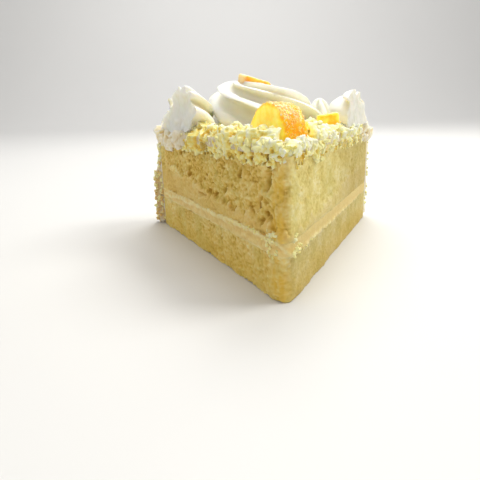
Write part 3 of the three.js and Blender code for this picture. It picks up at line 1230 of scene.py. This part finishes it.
@dataclass
class Cream:
    """The piped cream on top of the slice.

    Attributes:
        plan: The slice's plan.
        foot: The height that the swirls stand on.
        material: The cream's finish.
    """

    plan: SlicePlan
    foot: float
    material: Material

    def build(self, node: str, swirl: Swirl, *tails: Swirl) -> None:
        """Models a swirl with its tails, trims it to the slice and gives it its finish.

        Args:
            node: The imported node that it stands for.
            swirl: The swirl.
            *tails: Smaller ones that run into it.
        """
        pieces = [each.model(self.plan, self.foot) for each in (swirl, *tails)]
        piece = Bench.join(pieces, swirl.name)
        if tails:
            Bench.remesh(piece, CREAM_CELL)
        self.plan.trim(piece)
        Bench.remesh(piece, CREAM_CELL)
        Bench.modify(piece, "SMOOTH", iterations=2)
        Relief(13 * MM, 1.6 * MM).press(piece)
        Relief(4 * MM, 0.3 * MM).press(piece)
        cut = 1 - unit((self.plan.inside(Bench.points(piece)) - 0.2 * MM) / (1.6 * MM))
        Bench.mark(piece, SCRAPED, cut)
        Relief(5 * MM, 1.4 * MM, middle=0.6, finer=2, area=SCRAPED).press(piece)
        Relief(1.8 * MM, 0.45 * MM, area=SCRAPED).press(piece)
        Bench.mark_hollows(piece, 14, 0.9 * MM)
        dress(piece, self.material, "cream", node)


# The coat and its crumbs


@dataclass(frozen=True)
class Standing:
    """Something that stands on the coat, in plan: its centre and its reach."""

    centre: Vector
    reach: float

    def gap(self, place: Vector) -> float:
        """Gives how far a place is outside it."""
        return (place - self.centre).xy.length - self.reach


@dataclass(frozen=True)
class Mound:
    """A place where the crumbs stand higher or lower than round it.

    Attributes:
        across: How far to the right of the slice's middle it is.
        out: How far from the axis of the cake.
        top: The height of the crumbs there.
        reach: Its radius.
    """

    across: float
    out: float
    top: float
    reach: float = 3.6 * MM


MOUNDS = tuple(
    Mound(*mm(*row))
    for row in (
        (-6, 20, 48), (-9.5, 26.5, 48), (9.5, 30, 48.5), (13, 36.5, 48.5), (16, 45, 47),
        (-13, 34, 47.5), (-16.5, 44, 48.3), (-20.5, 53, 47.8), (-24, 61, 48.8), (-26.5, 69, 48),
        (-21, 72, 47.5), (26, 66, 46.5), (-2.8, 16.5, 47.6, 2.4),
    )
)

# Where the crumbs lie low, so that the front jelly's peel shows over them.
HOLLOW_BY_PEEL = Mound(*mm(3.5, 14.5, 43.3, 5.5))

# How thick the coat is on top, how far from the cake's axis it begins, and the skins' squares.
COAT_TOP = 2.5 * MM
COAT_FROM = 14 * MM
COAT_CELL = 0.5 * MM
HEAP_CELL = 0.47 * MM

# The heights, in millimetres, where the daubs of cream end and where the hanging crumbs begin.
DAUBS_TOP = 42.5
EDGE_TOP = 43.2

# The heap's crumbs: their sizes in millimetres, their rows, and how many a mound and the tip have.
CRUMB_SIZES = (2.6, 3.4, 4.4, 5.6, 7)
CRUMB_PITCH = 3.3 * MM
CRUMB_COLUMNS = 18
MOUND_CRUMBS = 16
TIP_CRUMBS = 24
FULL_TURN = 6.28


@dataclass(frozen=True)
class Crumb:
    """Where one crumb lies, how big it is, and how white, 0 to 1."""

    place: Vector
    size: float
    tint: float = 0.5


def tumble(draw: random.Random, axis: str | Vector) -> Matrix:
    """Draws a turn about X and then about another axis."""
    turn = Matrix.Rotation(draw.uniform(0, FULL_TURN), 4, axis)
    return turn @ Matrix.Rotation(draw.uniform(0, FULL_TURN), 4, "X")


class CrumbMaker:
    """Makes crumbs from a pattern, each turned and squashed at random."""

    def __init__(self, seed: int) -> None:
        """Starts with a seed for the draws."""
        self.draw = random.Random(seed)

    def pattern(self, seed: int) -> Piece:
        """Models one uneven crumb, about 1 across, at the origin."""
        bpy.ops.mesh.primitive_cube_add(size=0.8)
        piece = Bench.named("crumb_pattern")
        with Bench.editing(piece, Part.FACES):
            bpy.ops.mesh.subdivide(number_cuts=1)
            bpy.ops.transform.tosphere(value=0.5)
        knocks = random.Random(seed)
        for vertex in piece.data.vertices:
            vertex.co *= knocks.uniform(0.65, 1.35)
        return piece

    def set_down(self, name: str, crumbs: list[Crumb], seed: int) -> Piece:
        """Makes one piece of many crumbs.

        Args:
            name: The piece's name.
            crumbs: Where they lie.
            seed: The seed of their pattern.

        Returns:
            The piece.
        """
        pattern = self.pattern(seed)
        copies = []
        for crumb in crumbs:
            turn = tumble(self.draw, "Z")
            squash = [crumb.size * self.draw.uniform(0.6, 1.3) for _ in range(3)]
            shape = turn @ Matrix.Diagonal((*squash, 1))
            copy = Bench.copy(pattern, Matrix.Translation(crumb.place) @ shape)
            Bench.note(copy, TINT, np.full(len(copy.data.vertices), crumb.tint))
            copies.append(copy)
        bpy.data.objects.remove(pattern)
        return Bench.join(copies, name)


@dataclass
class Coat:
    """The cream over the top and the outer side, and the crumbs on it.

    Attributes:
        plan: The slice's plan.
        standing: What stands on the coat, which the crumbs keep clear of.
        foot: The height of the coat's lower edge.
        sponge_top: The height of the sponge under it.
        level: The height of its top.
        maker: The maker of its crumbs.
    """

    plan: SlicePlan
    standing: list[Standing]
    foot: float
    sponge_top: float
    level: float
    maker: CrumbMaker

    def daubs(
        self, side: int, count: int, alongs: Pair, low: float, proud: float, sizes: Pair
    ) -> list[Crumb]:
        """Gives daubs of cream along the upper edge of a cut face, in millimetres.

        Args:
            side: 1 for the right face and -1 for the left one.
            count: How many there are.
            alongs: Where they begin and end along the face.
            low: The height of the lowest.
            proud: How far their middles stand out of the face.
            sizes: The smallest and the largest size.

        Returns:
            The daubs.
        """
        draw = self.maker.draw.uniform
        daubs = []
        for _ in range(count):
            place = self.plan.on_face(side, *mm(draw(*alongs), draw(low, DAUBS_TOP), proud))
            daubs.append(Crumb(place, draw(*sizes) * MM))
        return daubs

    def cream(self, material: Material) -> Piece:
        """Models the cream: a slab on the sponge that turns down over its outer side."""
        plan = self.plan
        piece = plan.block("coat_cream", SPONGE_RADIUS + COAT_SIDE, self.foot, self.level)
        Bench.cut(piece, plan.apex + Vector((0, COAT_FROM, 0)), Vector((0, -1, 0)))
        bpy.ops.mesh.primitive_cylinder_add(
            vertices=ROUND_SIDES, radius=SPONGE_RADIUS - 0.2 * MM,
            depth=2 * self.sponge_top - 0.4 * MM, location=plan.apex,
        )
        room = Bench.named("sponge_room")
        Bench.modify(piece, "BOOLEAN", operation="DIFFERENCE", object=room, solver="EXACT")
        bpy.data.objects.remove(room)
        daubs = self.daubs(-1, 22, (78, 111), 40, -2, (5, 7.5))
        daubs += self.daubs(1, 9, (102, 112), 38, -1.8, (4, 6))
        piece = Bench.join([piece, self.maker.set_down("daubs", daubs, 2)], "coat_cream")
        Bench.remesh(piece, COAT_CELL)
        points = Bench.points(piece)
        left = unit((plan.apex.x - 16 * MM - points[:, 0]) / (24 * MM))
        low = unit((30 * MM - points[:, 2]) / (9 * MM))
        outer = unit((plan.radius(points) - SPONGE_RADIUS - 1 * MM) / (2 * MM))
        Bench.weigh(piece, CRUST, left * low * outer)
        Bench.swell(piece, CRUST, 2.6 * MM)
        crumby = unit((74 * MM - points[:, 1] + plan.apex.y) / (8 * MM))
        Bench.note(piece, CRUST, np.maximum(left * low * outer, 0.5 * crumby))
        Bench.weigh(piece, RAISED, unit(points[:, 2] / (2 * MM) - 0.3))
        Relief(7 * MM, 1.2 * MM, finer=2, area=RAISED).press(piece)
        Relief(1.8 * MM, 0.6 * MM, area=RAISED).press(piece)
        Bench.settle(piece)
        Bench.mark_hollows(piece, 5, 0.4 * MM)
        dress(piece, material, "coat", "crumbed_coat")
        return piece

    def free(self, place: Vector, size: float) -> bool:
        """Tells whether a crumb can lie at a place on top."""
        return all(thing.gap(place) > 0.2 * size for thing in self.standing)

    def heap_height(self, place: Vector) -> float:
        """Gives the height of the crumbs: lower at the tip and at the cut edges."""
        rise = unit((place.y - self.plan.apex.y - 8 * MM) / (40 * MM))
        crown = unit(self.plan.inside(np.array([place]))[0] / (8 * MM))
        return self.level + float(-1.0 + 1.6 * rise + 1.2 * crown * rise) * MM

    def whiteness(self, place: Vector) -> float:
        """Draws how white a crumb is: whiter at the tip and on the right as painted light, and yellower
        by the jelly as its painted glow, about a random mix of white and yellow crumbs.
        """
        across, out = (place - self.plan.apex).xy
        by_jelly = unit(1 - self.standing[0].gap(place) / (3 * MM))
        at_tip = unit((17 * MM - out) / (5 * MM))
        to_right = np.clip(across / (8 * MM), -0.3, 1)
        # Painted light: whiter where lit at the tip and on the right, yellower by the jelly as its glow.
        mean = 0.52 + 0.5 * at_tip + 0.35 * to_right - 0.3 * by_jelly * (1 - at_tip)
        return float(mean) + self.maker.draw.uniform(-0.3, 0.3)

    def strewn(self) -> list[Crumb]:
        """Gives the crumbs that lie all over the top, in shaken rows."""
        draw = self.maker.draw
        crumbs = []
        for row in range(int(SPONGE_RADIUS / CRUMB_PITCH)):
            for column in range(-CRUMB_COLUMNS, CRUMB_COLUMNS + 1):
                x = (column + row % 2 / 2 + draw.uniform(-0.45, 0.45)) * CRUMB_PITCH
                y = (row + draw.uniform(-0.45, 0.45)) * CRUMB_PITCH
                size = draw.choice(CRUMB_SIZES) * MM
                if y < 13 * MM:
                    size = min(size, 3.4 * MM)
                place = self.plan.apex + Vector((x, y, 0))
                spot = np.array([place])
                on_top = 7.5 * MM <= self.plan.radius(spot)[0] <= SPONGE_RADIUS
                on_top = on_top and self.plan.inside(spot)[0] > 0.4 * MM
                if not on_top or not self.free(place, size):
                    continue
                sink = -0.25 * size + draw.uniform(-0.9, 0.9) * MM
                place.z = self.heap_height(place) + sink
                low = HOLLOW_BY_PEEL
                if math.hypot(x - low.across, y - low.out) < low.reach:
                    place.z = min(place.z, low.top - size / 2)
                crumbs.append(Crumb(place, size, self.whiteness(place)))
        return crumbs

    def mounded(self) -> list[Crumb]:
        """Gives the crumbs of the mounds."""
        draw = self.maker.draw
        crumbs = []
        for mound in MOUNDS:
            middle = self.plan.apex + Vector((mound.across, mound.out, self.level))
            for _ in range(MOUND_CRUMBS):
                reach, turn = draw.random(), draw.uniform(0, 2 * math.pi)
                size = draw.uniform(2.6, 5.2) * MM
                beside = Vector((math.cos(turn), math.sin(turn), 0)) * reach * mound.reach
                rise = (mound.top - self.level - size / 2) * (1 - reach**2)
                place = middle + beside + Vector((0, 0, rise * draw.uniform(0.3, 1)))
                crumbs.append(Crumb(place, size, self.whiteness(place) + 0.2))
        return crumbs

    def hanging(self, side: int, reach: float, count: int) -> list[Crumb]:
        """Gives the crumbs that hang over a cut edge, smaller and yellower further down.

        Args:
            side: 1 for the right face and -1 for the left one.
            reach: How far along the face they go, in millimetres.
            count: How many there are.

        Returns:
            The crumbs.
        """
        draw = self.maker.draw
        crumbs = []
        for _ in range(count):
            fall = 6 * draw.random() ** 1.8
            size = draw.uniform(2 - 0.15 * fall, 4.4 - 0.45 * fall)
            along = draw.uniform(8, reach)
            proud = draw.uniform(-0.5, -0.28) * size
            place = self.plan.on_face(side, *mm(along, EDGE_TOP - fall, proud))
            crumbs.append(Crumb(place, size * MM, self.whiteness(place) + 0.15 - 0.3 * fall))
        return crumbs

    def round_tip(self) -> list[Crumb]:
        """Gives the crumbs round the blunt tip."""
        draw = self.maker.draw.uniform
        crumbs = []
        for _ in range(TIP_CRUMBS):
            turn = draw(-1, 1)
            y = 8 * MM - 2.6 * MM * math.cos(turn)
            place = self.plan.apex + Vector((3 * MM * math.sin(turn), y, 0))
            place.z = draw(40.3, 42.6) * MM
            crumbs.append(Crumb(place, draw(1.8, 3.4) * MM, self.whiteness(place)))
        return crumbs

    def heap(self, material: Material) -> Piece:
        """Models the crumbs on top as one heap with an open, crumbly surface."""
        crumbs = self.strewn() + self.mounded()
        crumbs += self.hanging(-1, 80, 270) + self.hanging(1, 100, 240) + self.round_tip()
        log.info("heap: %d crumbs", len(crumbs))
        piece = self.maker.set_down("crumb_heap", crumbs, 3)
        Bench.remesh(piece, HEAP_CELL)
        Bench.modify(piece, "SMOOTH", iterations=2)
        Relief(6 * MM, 1.8 * MM).press(piece)
        Relief(2.2 * MM, 0.75 * MM).press(piece)
        Relief(1.4 * MM, -0.55 * MM, bounds=(0, 0.6), pattern=Pattern.PITS).press(piece)
        Bench.mark_hollows(piece, 8, 0.7 * MM)
        dress(piece, material, "coat")
        return piece

    def on_side(self, coat: BVHTree, count: int, heights: Pair, reach: float) -> list[Crumb]:
        """Gives crumbs on the outer side.

        Args:
            coat: The surface that they stick to.
            count: How many are tried.
            heights: The lowest and the highest height.
            reach: How far round from the left cut they go, as a share of the whole side.

        Returns:
            The crumbs.
        """
        draw = self.maker.draw.uniform
        crumbs = []
        for _ in range(count):
            polar = HALF_ANGLE * (-1 + 2 * reach * draw(0, 1))
            start = self.plan.at(polar, SPONGE_RADIUS + 12 * MM, draw(*heights))
            size = draw(1, 2.4) * MM
            inwards = self.plan.at(polar, 1) - self.plan.apex
            place, normal, _, _ = coat.ray_cast(start, -inwards, 20 * MM)
            if place:
                crumbs.append(Crumb(place - 0.2 * size * normal, size, draw(0, 1)))
        return crumbs

    def on_top(self, heap: BVHTree, count: int) -> list[Crumb]:
        """Gives small crumbs on the heap.

        Args:
            heap: Its surface.
            count: How many are tried.

        Returns:
            Those that are clear of everything.
        """
        draw = self.maker.draw.uniform
        crumbs = []
        for _ in range(count):
            start = self.plan.at(draw(-1, 1) * HALF_ANGLE, (6 + 104 * draw(0, 1) ** 0.6) * MM)
            size = draw(0.7, 1.9) * MM
            if self.free(start, 2 * size):
                start.z = self.level + 20 * MM
                place, normal, _, _ = heap.ray_cast(start, Vector((0, 0, -1)))
                if place:
                    crumbs.append(Crumb(place + 0.2 * size * normal, size, draw(0, 1.1)))
        return crumbs

    def on_cut(
        self, skins: list[BVHTree], side: int, count: int, alongs: Pair, heights: Pair,
        sizes: Pair, tints: Pair = (0, 1.1), crowd: float = 1,
    ) -> list[Crumb]:
        """Gives crumbs that stick to a cut face.

        Args:
            skins: The surfaces that they may stick to.
            side: 1 for the right face and -1 for the left one.
            count: How many are tried.
            alongs: Where they begin and end along the face.
            heights: Where the lowest and the highest of them are.
            sizes: The smallest and the largest size.
            tints: The tints of the lowest and the highest.
            crowd: How much they crowd at the highest place.

        Returns:
            The crumbs.
        """
        draw = self.maker.draw.uniform
        inwards = -self.plan.outwards(side)
        crumbs = []
        for _ in range(count):
            share = 1 - draw(0, 1) ** crowd
            height = heights[0] + (heights[1] - heights[0]) * share
            start = self.plan.on_face(side, draw(*alongs), height, 12 * MM)
            hits = [skin.ray_cast(start, inwards, 15 * MM) for skin in skins]
            hits = [hit for hit in hits if hit[0]]
            if hits:
                place, normal, _, _ = min(hits, key=lambda hit: hit[3])
                size = draw(*sizes)
                tint = tints[0] + (tints[1] - tints[0]) * share * draw(0, 1)
                crumbs.append(Crumb(place + 0.12 * size * normal, size, tint))
        return crumbs

    def loose(self, name: str, crumbs: list[Crumb], seed: int, material: Material) -> None:
        """Makes one kind of loose crumb.

        Args:
            name: The piece's name.
            crumbs: Where they lie.
            seed: The seed of their pattern.
            material: Their finish.
        """
        piece = self.maker.set_down(name, crumbs, seed)
        Bench.mark_hollows(piece, 2, 0.5 * MM)
        dress(piece, material, "coat", grainy=True)


# The jelly


# The squares of the jelly's skins, and how many sides a round one has before it gets its skin.
JELLY_CELL = 0.3 * MM
ROUND_JELLY_SIDES = 72

# How many sugar crystals lie on a peel, and where the peel begins, as a share of the radius.
CRYSTALS = 420
PEEL_FROM = 0.9


def middle_and_top(node: str) -> tuple[Vector, float]:
    """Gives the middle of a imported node, and the height of its top."""
    low, high = (Vector(corner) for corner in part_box(node))
    return (low + high) / 2, high.z


@dataclass
class JellyRound:
    """A thick half round of citrus jelly with its sugared peel.

    Attributes:
        name: The start of its pieces' names.
        node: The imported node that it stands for.
        radius: Its radius.
        thick: How thick it is.
        turn: How far it is turned about the upright, in degrees.
        tilt: How far it leans over in its own plane, in degrees.
    """

    name: str
    node: str
    radius: float
    thick: float
    turn: float
    tilt: float

    def centre(self) -> Vector:
        """Gives the middle of its round."""
        middle, top = middle_and_top(self.node)
        middle.z = top - self.radius
        return middle

    def build(self, citrus: Material, sugar: Material, draw: random.Random) -> None:
        """Models the piece and gives it its finishes.

        Args:
            citrus: The flesh's and the peel's finish.
            sugar: The crystals' finish.
            draw: The draws.
        """
        centre = self.centre()
        turn = math.radians(self.turn)
        bpy.ops.mesh.primitive_cylinder_add(
            vertices=ROUND_JELLY_SIDES, radius=self.radius, depth=self.thick, location=centre,
            rotation=(math.pi / 2, math.radians(self.tilt), turn),
        )
        piece = Bench.named(self.name)
        flat = np.array([len(face.vertices) > 4 for face in piece.data.polygons])
        with Bench.editing(piece, Part.FACES, flat):
            bpy.ops.mesh.bevel(offset=1.2 * MM, segments=4, affect="EDGES")
        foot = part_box(self.node)[0][2] - 1 * MM
        Bench.cut(piece, Vector((0, 0, foot)), Vector((0, 0, -1)))
        Bench.remesh(piece, JELLY_CELL)
        Relief(3.5 * MM, 1.0 * MM).press(piece)
        axle = Vector((math.sin(turn), -math.cos(turn), 0))
        spokes = Bench.points(piece) - np.array(centre)
        spokes -= np.outer(spokes @ np.array(axle), np.array(axle))
        peel = unit((np.linalg.norm(spokes, axis=1) / self.radius - PEEL_FROM) / 0.06)
        Bench.note(piece, PEEL, peel)
        dress(piece, citrus, "jelly", self.node)
        outside = [
            face
            for face in piece.data.polygons
            if peel[face.vertices[0]] > 0.9 and abs(face.normal.dot(axle)) < 0.6
        ]
        dress(crystals(f"{self.name}_sugar", outside, CRYSTALS, draw), sugar, "jelly")


@dataclass
class JellyBlock:
    """A smooth block of citrus jelly.

    Attributes:
        name: The piece's name.
        node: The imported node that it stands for.
        size: Its width, depth and height.
        turn: How far it is turned about the upright, in degrees.
        tilt: How far it leans over to its right, in degrees.
        fall: How far its right end is lower than its left one.
    """

    name: str
    node: str
    size: Triple
    turn: float
    tilt: float
    fall: float

    def build(self, material: Material) -> None:
        """Models the block and gives it its finish."""
        middle, top = middle_and_top(self.node)
        middle.z = top - self.size[2] / 2 - 0.2 * MM
        bpy.ops.mesh.primitive_cube_add(size=1, scale=self.size)
        piece = Bench.named(self.name)
        points = Bench.points(piece)
        with Bench.editing(piece, Part.VERTS, (points[:, 0] > 0) & (points[:, 2] > 0)):
            bpy.ops.transform.translate(value=(0, 0, -self.fall))
        Bench.bevel(piece, None, 1.1 * MM, 3)
        lean = Matrix.Rotation(math.radians(self.tilt), 4, "Y")
        lean = Matrix.Rotation(math.radians(self.turn), 4, "Z") @ lean
        piece.data.transform(Matrix.Translation(middle) @ lean)
        Bench.remesh(piece, JELLY_CELL)
        Relief(3 * MM, 0.4 * MM).press(piece)
        dress(piece, material, "jelly", self.node)


def crystals(
    name: str, faces: list[bpy.types.MeshPolygon], count: int, draw: random.Random
) -> Piece:
    """Scatters sugar crystals over some faces.

    Args:
        name: The piece's name.
        faces: The faces.
        count: How many crystals.
        draw: The draws.

    Returns:
        The crystals, as one piece.
    """
    spots = [(face.center.copy(), face.normal.copy()) for face in faces]
    bpy.ops.mesh.primitive_cube_add(size=1)
    pattern = Bench.named("crystal")
    Bench.bevel(pattern, None, 0.14, 1)
    copies = []
    for _ in range(count):
        centre, normal = spots[draw.randrange(len(spots))]
        size = draw.uniform(0.3, 0.55) * MM
        shape = tumble(draw, normal) @ Matrix.Diagonal((size, size, size, 1))
        copies.append(Bench.copy(pattern, Matrix.Translation(centre) @ shape))
    bpy.data.objects.remove(pattern)
    return Bench.join(copies, name)


# The studio


@dataclass(frozen=True)
class Lamp:
    """A square soft light.

    Attributes:
        name: Its name.
        place: Where it stands.
        size: The side of its square.
        watts: Its power.
        colour: Its colour.
        target: What it faces, which is the slice unless another is given.
    """

    name: str
    place: Triple
    size: float
    watts: float
    colour: Triple
    target: Triple = (0, 0, 0.03)

    def build(self) -> None:
        """Adds the light."""
        light = bpy.data.lights.new(self.name, "AREA")
        light.size, light.energy, light.color = self.size, self.watts, self.colour
        lamp = bpy.data.objects.new(self.name, light)
        bpy.context.collection.objects.link(lamp)
        lamp.location = self.place
        aim = Vector(self.target) - Vector(self.place)
        lamp.rotation_euler = aim.to_track_quat("-Z", "Y").to_euler()


@dataclass(frozen=True)
class Studio:
    """A pale floor, soft lights and the camera.

    Attributes:
        eye: Where the camera stands.
        pitch: How far it looks down.
        roll: How far it is turned about its view.
        lens: Its focal length in millimetres, on a 36 mm frame.
        sky_colour: The colour of the sky.
        sky_strength: Its strength.
        lamps: The lights.
    """

    eye: Vector
    pitch: float = 0.286
    roll: float = -0.031
    lens: float = 33.6
    sky_colour: Triple = (1, 0.99, 0.97)
    sky_strength: float = 0.32
    lamps: tuple[Lamp, ...] = (
        Lamp("key", (0.45, 0.05, 0.6), 0.3, 3.15, (1, 0.99, 0.95)),
        Lamp("rim", (0.12, 0.5, 0.65), 0.4, 2.6, (1, 0.99, 0.96)),
        Lamp("top", (0.02, -0.02, 0.6), 0.2, 0.55, (1, 0.99, 0.96)),
        Lamp("fill", (-0.4, -0.45, 0.6), 0.6, 1.05, (1, 0.98, 0.94)),
        Lamp("backdrop", (0, 0.9, 1.6), 1.5, 22, (1, 1, 1), (0, 2, 0.4)),
    )

    def floor(self) -> None:
        """Makes the floor, which turns up far behind the slice."""
        bpy.ops.mesh.primitive_plane_add(size=4, location=(0, 0, 0))
        piece = Bench.named("studio_floor")
        back = Bench.edges_among(piece, Bench.points(piece)[:, 1] > 0)
        with Bench.editing(piece, Part.EDGES, back):
            bpy.ops.mesh.extrude_region_move(TRANSFORM_OT_translate={"value": (0, 0, 2)})
        points = Bench.points(piece)
        fold = Bench.edges_among(piece, (points[:, 1] > 1) & (points[:, 2] < 0.1))
        Bench.bevel(piece, fold, 0.8, 12)
        piece.data.materials.append(FloorFinish().material())
        bpy.ops.object.shade_smooth()

    def sky(self) -> None:
        """Adds the light of the sky."""
        world = bpy.data.worlds.new("sky")
        bpy.context.scene.world = world
        world.use_nodes = True
        sky = world.node_tree.nodes["Background"]
        sky.inputs["Color"].default_value = (*self.sky_colour, 1)
        sky.inputs["Strength"].default_value = self.sky_strength

    def camera(self) -> None:
        """Adds the camera."""
        camera = bpy.data.objects.new("camera", bpy.data.cameras.new("camera"))
        bpy.context.collection.objects.link(camera)
        camera.data.lens = self.lens
        camera.data.sensor_width = 36
        camera.data.clip_start = 0.01
        look = Matrix.Rotation(math.pi / 2 - self.pitch, 4, "X")
        turn = Matrix.Rotation(self.roll, 4, "Z")
        camera.matrix_world = Matrix.Translation(self.eye) @ look @ turn
        bpy.context.scene.camera = camera

    def build(self) -> None:
        """Sets the studio up."""
        self.floor()
        for lamp in self.lamps:
            lamp.build()
        self.sky()
        self.camera()
        bpy.context.scene.view_settings.view_transform = "Standard"


# The whole slice


def build_layers(plan: SlicePlan) -> list[BVHTree]:
    """Builds the two layers of sponge and the cream between them.

    Args:
        plan: The slice's plan.

    Returns:
        Their surfaces, which crumbs stick to.
    """
    sponge = SpongeFinish(plan).material()
    pits, opened = Pattern.PITS, (0.02, 0.24)
    broad = Relief(9 * MM, 1.7 * MM, area=CUT)
    grain = Relief(0.8 * MM, 0.6 * MM, DRAGGED, area=CUT)
    soft = Relief(2.1 * MM, 0.8 * MM, DRAGGED, finer=2, area=CUT)
    tears = Relief(2.7 * MM, 1.6 * MM, DRAGGED, middle=0.6, finer=2, area=TORN)
    granules = Relief(1 * MM, -0.4 * MM, DRAGGED, bounds=(0, 0.6), area=CUT, pattern=pits)
    holes = Relief(3.6 * MM, 1 * MM, DRAGGED, middle=1, bounds=opened, area=TORN, pattern=pits)
    smear = Relief(6 * MM, 0.8 * MM, (1, 1, 0.5), middle=0.3, area=CUT)
    film = Relief(1.4 * MM, 0.5 * MM, area=CUT)
    lower = Layer(
        "lower_sponge", "sponge_lower", "sponge", 0.5 * MM, [broad, soft, granules, grain],
        above=0.1 * MM,
    )
    band = Layer(
        "filling_band", "cream_filling", "filling", 0.45 * MM, [smear, film],
        below=0.3 * MM, above=0.4 * MM, ridge=0.7 * MM,
    )
    upper = Layer(
        "upper_sponge", "sponge_upper", "sponge", 0.47 * MM,
        [broad, soft, tears, granules, holes, grain],
        below=0.1 * MM, recess=1.0 * MM, gouged=1.6 * MM,
    )
    zones = Zones()
    pieces = [lower.build(plan, zones, sponge)]
    pieces.append(band.build(plan, zones, FillingFinish(plan.apex.x).material()))
    pieces.append(upper.build(plan, zones, sponge))
    return [Bench.surface(piece) for piece in pieces]


def build_cream(plan: SlicePlan) -> list[Swirl]:
    """Builds the swirls.

    Args:
        plan: The slice's plan.

    Returns:
        Them, for what has to keep clear of them.
    """
    middle = Swirl(
        "middle_swirl", 0.3, *mm(88, 25.5, 21.2), power=2.9, twist=2.13, start=0.785,
        lean=(-10.5 * MM, 0), bend=2.5,
    )
    tail = Swirl(
        "cream_tail", 14.5, *mm(100, 5.8, 13.5), power=3, twist=0.6, start=0,
        crease=0.5, lobes=5, levels=7,
    )
    left = Swirl(
        "left_swirl", -30, *mm(89, 24.5, 19.8), power=2.1, twist=2.2, start=0.7,
        lean=mm(6.5, -11), crease=0.6,
    )
    right = Swirl(
        "right_swirl", 33.5, *mm(93, 25, 17.6), power=3.4, twist=2.2, start=0.4,
        lean=mm(-6.5, -9), crease=0.6,
    )
    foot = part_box("swirl_middle")[0][2] - 0.8 * MM
    cream = Cream(plan, foot, CreamFinish("piped_cream").material())
    cream.build("swirl_middle", middle, tail)
    cream.build("swirl_left", left)
    cream.build("swirl_right", right)
    return [middle, left, right]


def build_jelly() -> list[Standing]:
    """Builds the jelly pieces.

    Returns:
        The two that stand on the coat, for the crumbs to keep clear of.
    """
    left_end = Vector(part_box("jelly_top")[0]).x
    # The amber jelly gets a stronger painted glow.
    amber = JellyFinish("amber_jelly", (255, 194, 36), (255, 224, 92), glow=0.3)
    candied = JellyFinish(
        "candied_jelly", (254, 166, 26), (255, 204, 84),
        pale=(255, 224, 176), pale_until=left_end + 3 * MM,
    )
    front = JellyRound("front_jelly", "jelly_front", *mm(9.5, 8.6), turn=-60, tilt=6)
    front.build(CitrusFinish().material(), SugarFinish().material(), random.Random(5))
    size = mm(7.8, 5.4, 6.8)
    right = JellyBlock("right_jelly", "jelly_right", size, turn=-4, tilt=-3, fall=-0.5 * MM)
    right.build(amber.material())
    size = mm(13.6, 6.4, 5)
    top = JellyBlock("top_jelly", "jelly_top", size, turn=-8, tilt=8, fall=2.4 * MM)
    top.build(candied.material())
    beside, _ = middle_and_top("jelly_right")
    return [Standing(front.centre(), 5.5 * MM), Standing(beside, 3.2 * MM)]


def build_coat(plan: SlicePlan, standing: list[Standing], faces: list[BVHTree]) -> None:
    """Builds the coat and all its crumbs.

    Args:
        plan: The slice's plan.
        standing: What the crumbs keep clear of.
        faces: The surfaces of the layers, which crumbs stick to.
    """
    sponge_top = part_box("sponge_upper")[1][2]
    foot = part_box("crumbed_coat")[0][2]
    coat = Coat(plan, standing, foot, sponge_top, sponge_top + COAT_TOP, CrumbMaker(3))
    soft = CreamFinish("coat_cream", (248, 240, 222), (240, 228, 196), (222, 200, 146))
    crumb = CrumbFinish("cake_crumbs").material()
    brown = CrumbFinish(
        "baked_crumbs",
        Tones((120, 72, 24), (176, 122, 56), (208, 160, 88), (232, 200, 136)),
        Tones((160, 120, 52), (204, 164, 84), (228, 196, 116), (244, 222, 152)),
    ).material()
    side = Bench.surface(coat.cream(soft.material()))
    heap = Bench.surface(coat.heap(CrumbFinish("heaped_crumbs", depth=1.1 * MM).material()))
    skins = [heap, *faces]
    small = coat.on_top(heap, 200)
    small += coat.on_cut(skins, -1, 50, mm(5, 84), mm(37, 44), mm(0.6, 2), (0, 0.5), 3)
    small += coat.on_cut(skins, 1, 60, mm(5, 100), mm(37, 44), mm(0.6, 2), crowd=3)
    coat.loose("small_crumbs", small, 4, crumb)
    outer = mm(112, 119)
    rear = coat.on_side(side, 700, mm(2.4, 43), 1)
    rear += coat.on_cut([side], -1, 80, outer, mm(2, 40), mm(0.8, 1.7), (0, 0.7))
    rear += coat.on_cut([side], 1, 24, outer, mm(2, 40), mm(0.6, 1.4))
    coat.loose("side_crumbs", rear, 5, crumb)
    baked = coat.on_side(side, 110, mm(2.4, 30), 0.3)
    baked += coat.on_cut([side], -1, 50, outer, mm(2, 30), mm(0.8, 1.8))
    coat.loose("baked_crumbs", baked, 6, brown)
    fine = mm(0.35, 1)
    specks = coat.on_cut(faces, -1, 16, mm(8, 40), mm(16.4, 18.8), fine, (0, 0.3))
    specks += coat.on_cut(faces, 1, 8, mm(8, 30), mm(13, 15), fine, (0, 0.3))
    corner = (mm(4.5, 11), mm(12.5, 20), mm(0.5, 1.3), (0, 0.7))
    specks += coat.on_cut(faces, -1, 30, *corner)
    specks += coat.on_cut(faces, 1, 16, *corner)
    coat.loose("face_crumbs", specks, 7, crumb)


def main() -> None:
    """Builds the slice in the studio, piece by piece."""
    logging.basicConfig(level=logging.INFO, format="%(message)s")
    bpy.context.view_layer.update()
    low, high = (Vector(corner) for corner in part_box("sponge_upper"))
    plan = SlicePlan(Vector(((low.x + high.x) / 2, high.y - SPONGE_RADIUS, 0)))
    Studio(eye=plan.apex + Vector((-12.3, -112, 53)) * MM).build()
    faces = build_layers(plan)
    swirls = build_cream(plan)
    standing = build_jelly()
    standing += [Standing(swirl.centre(plan), 0.82 * swirl.radius) for swirl in swirls]
    build_coat(plan, standing, faces)


if __name__ == "__main__":
    main()
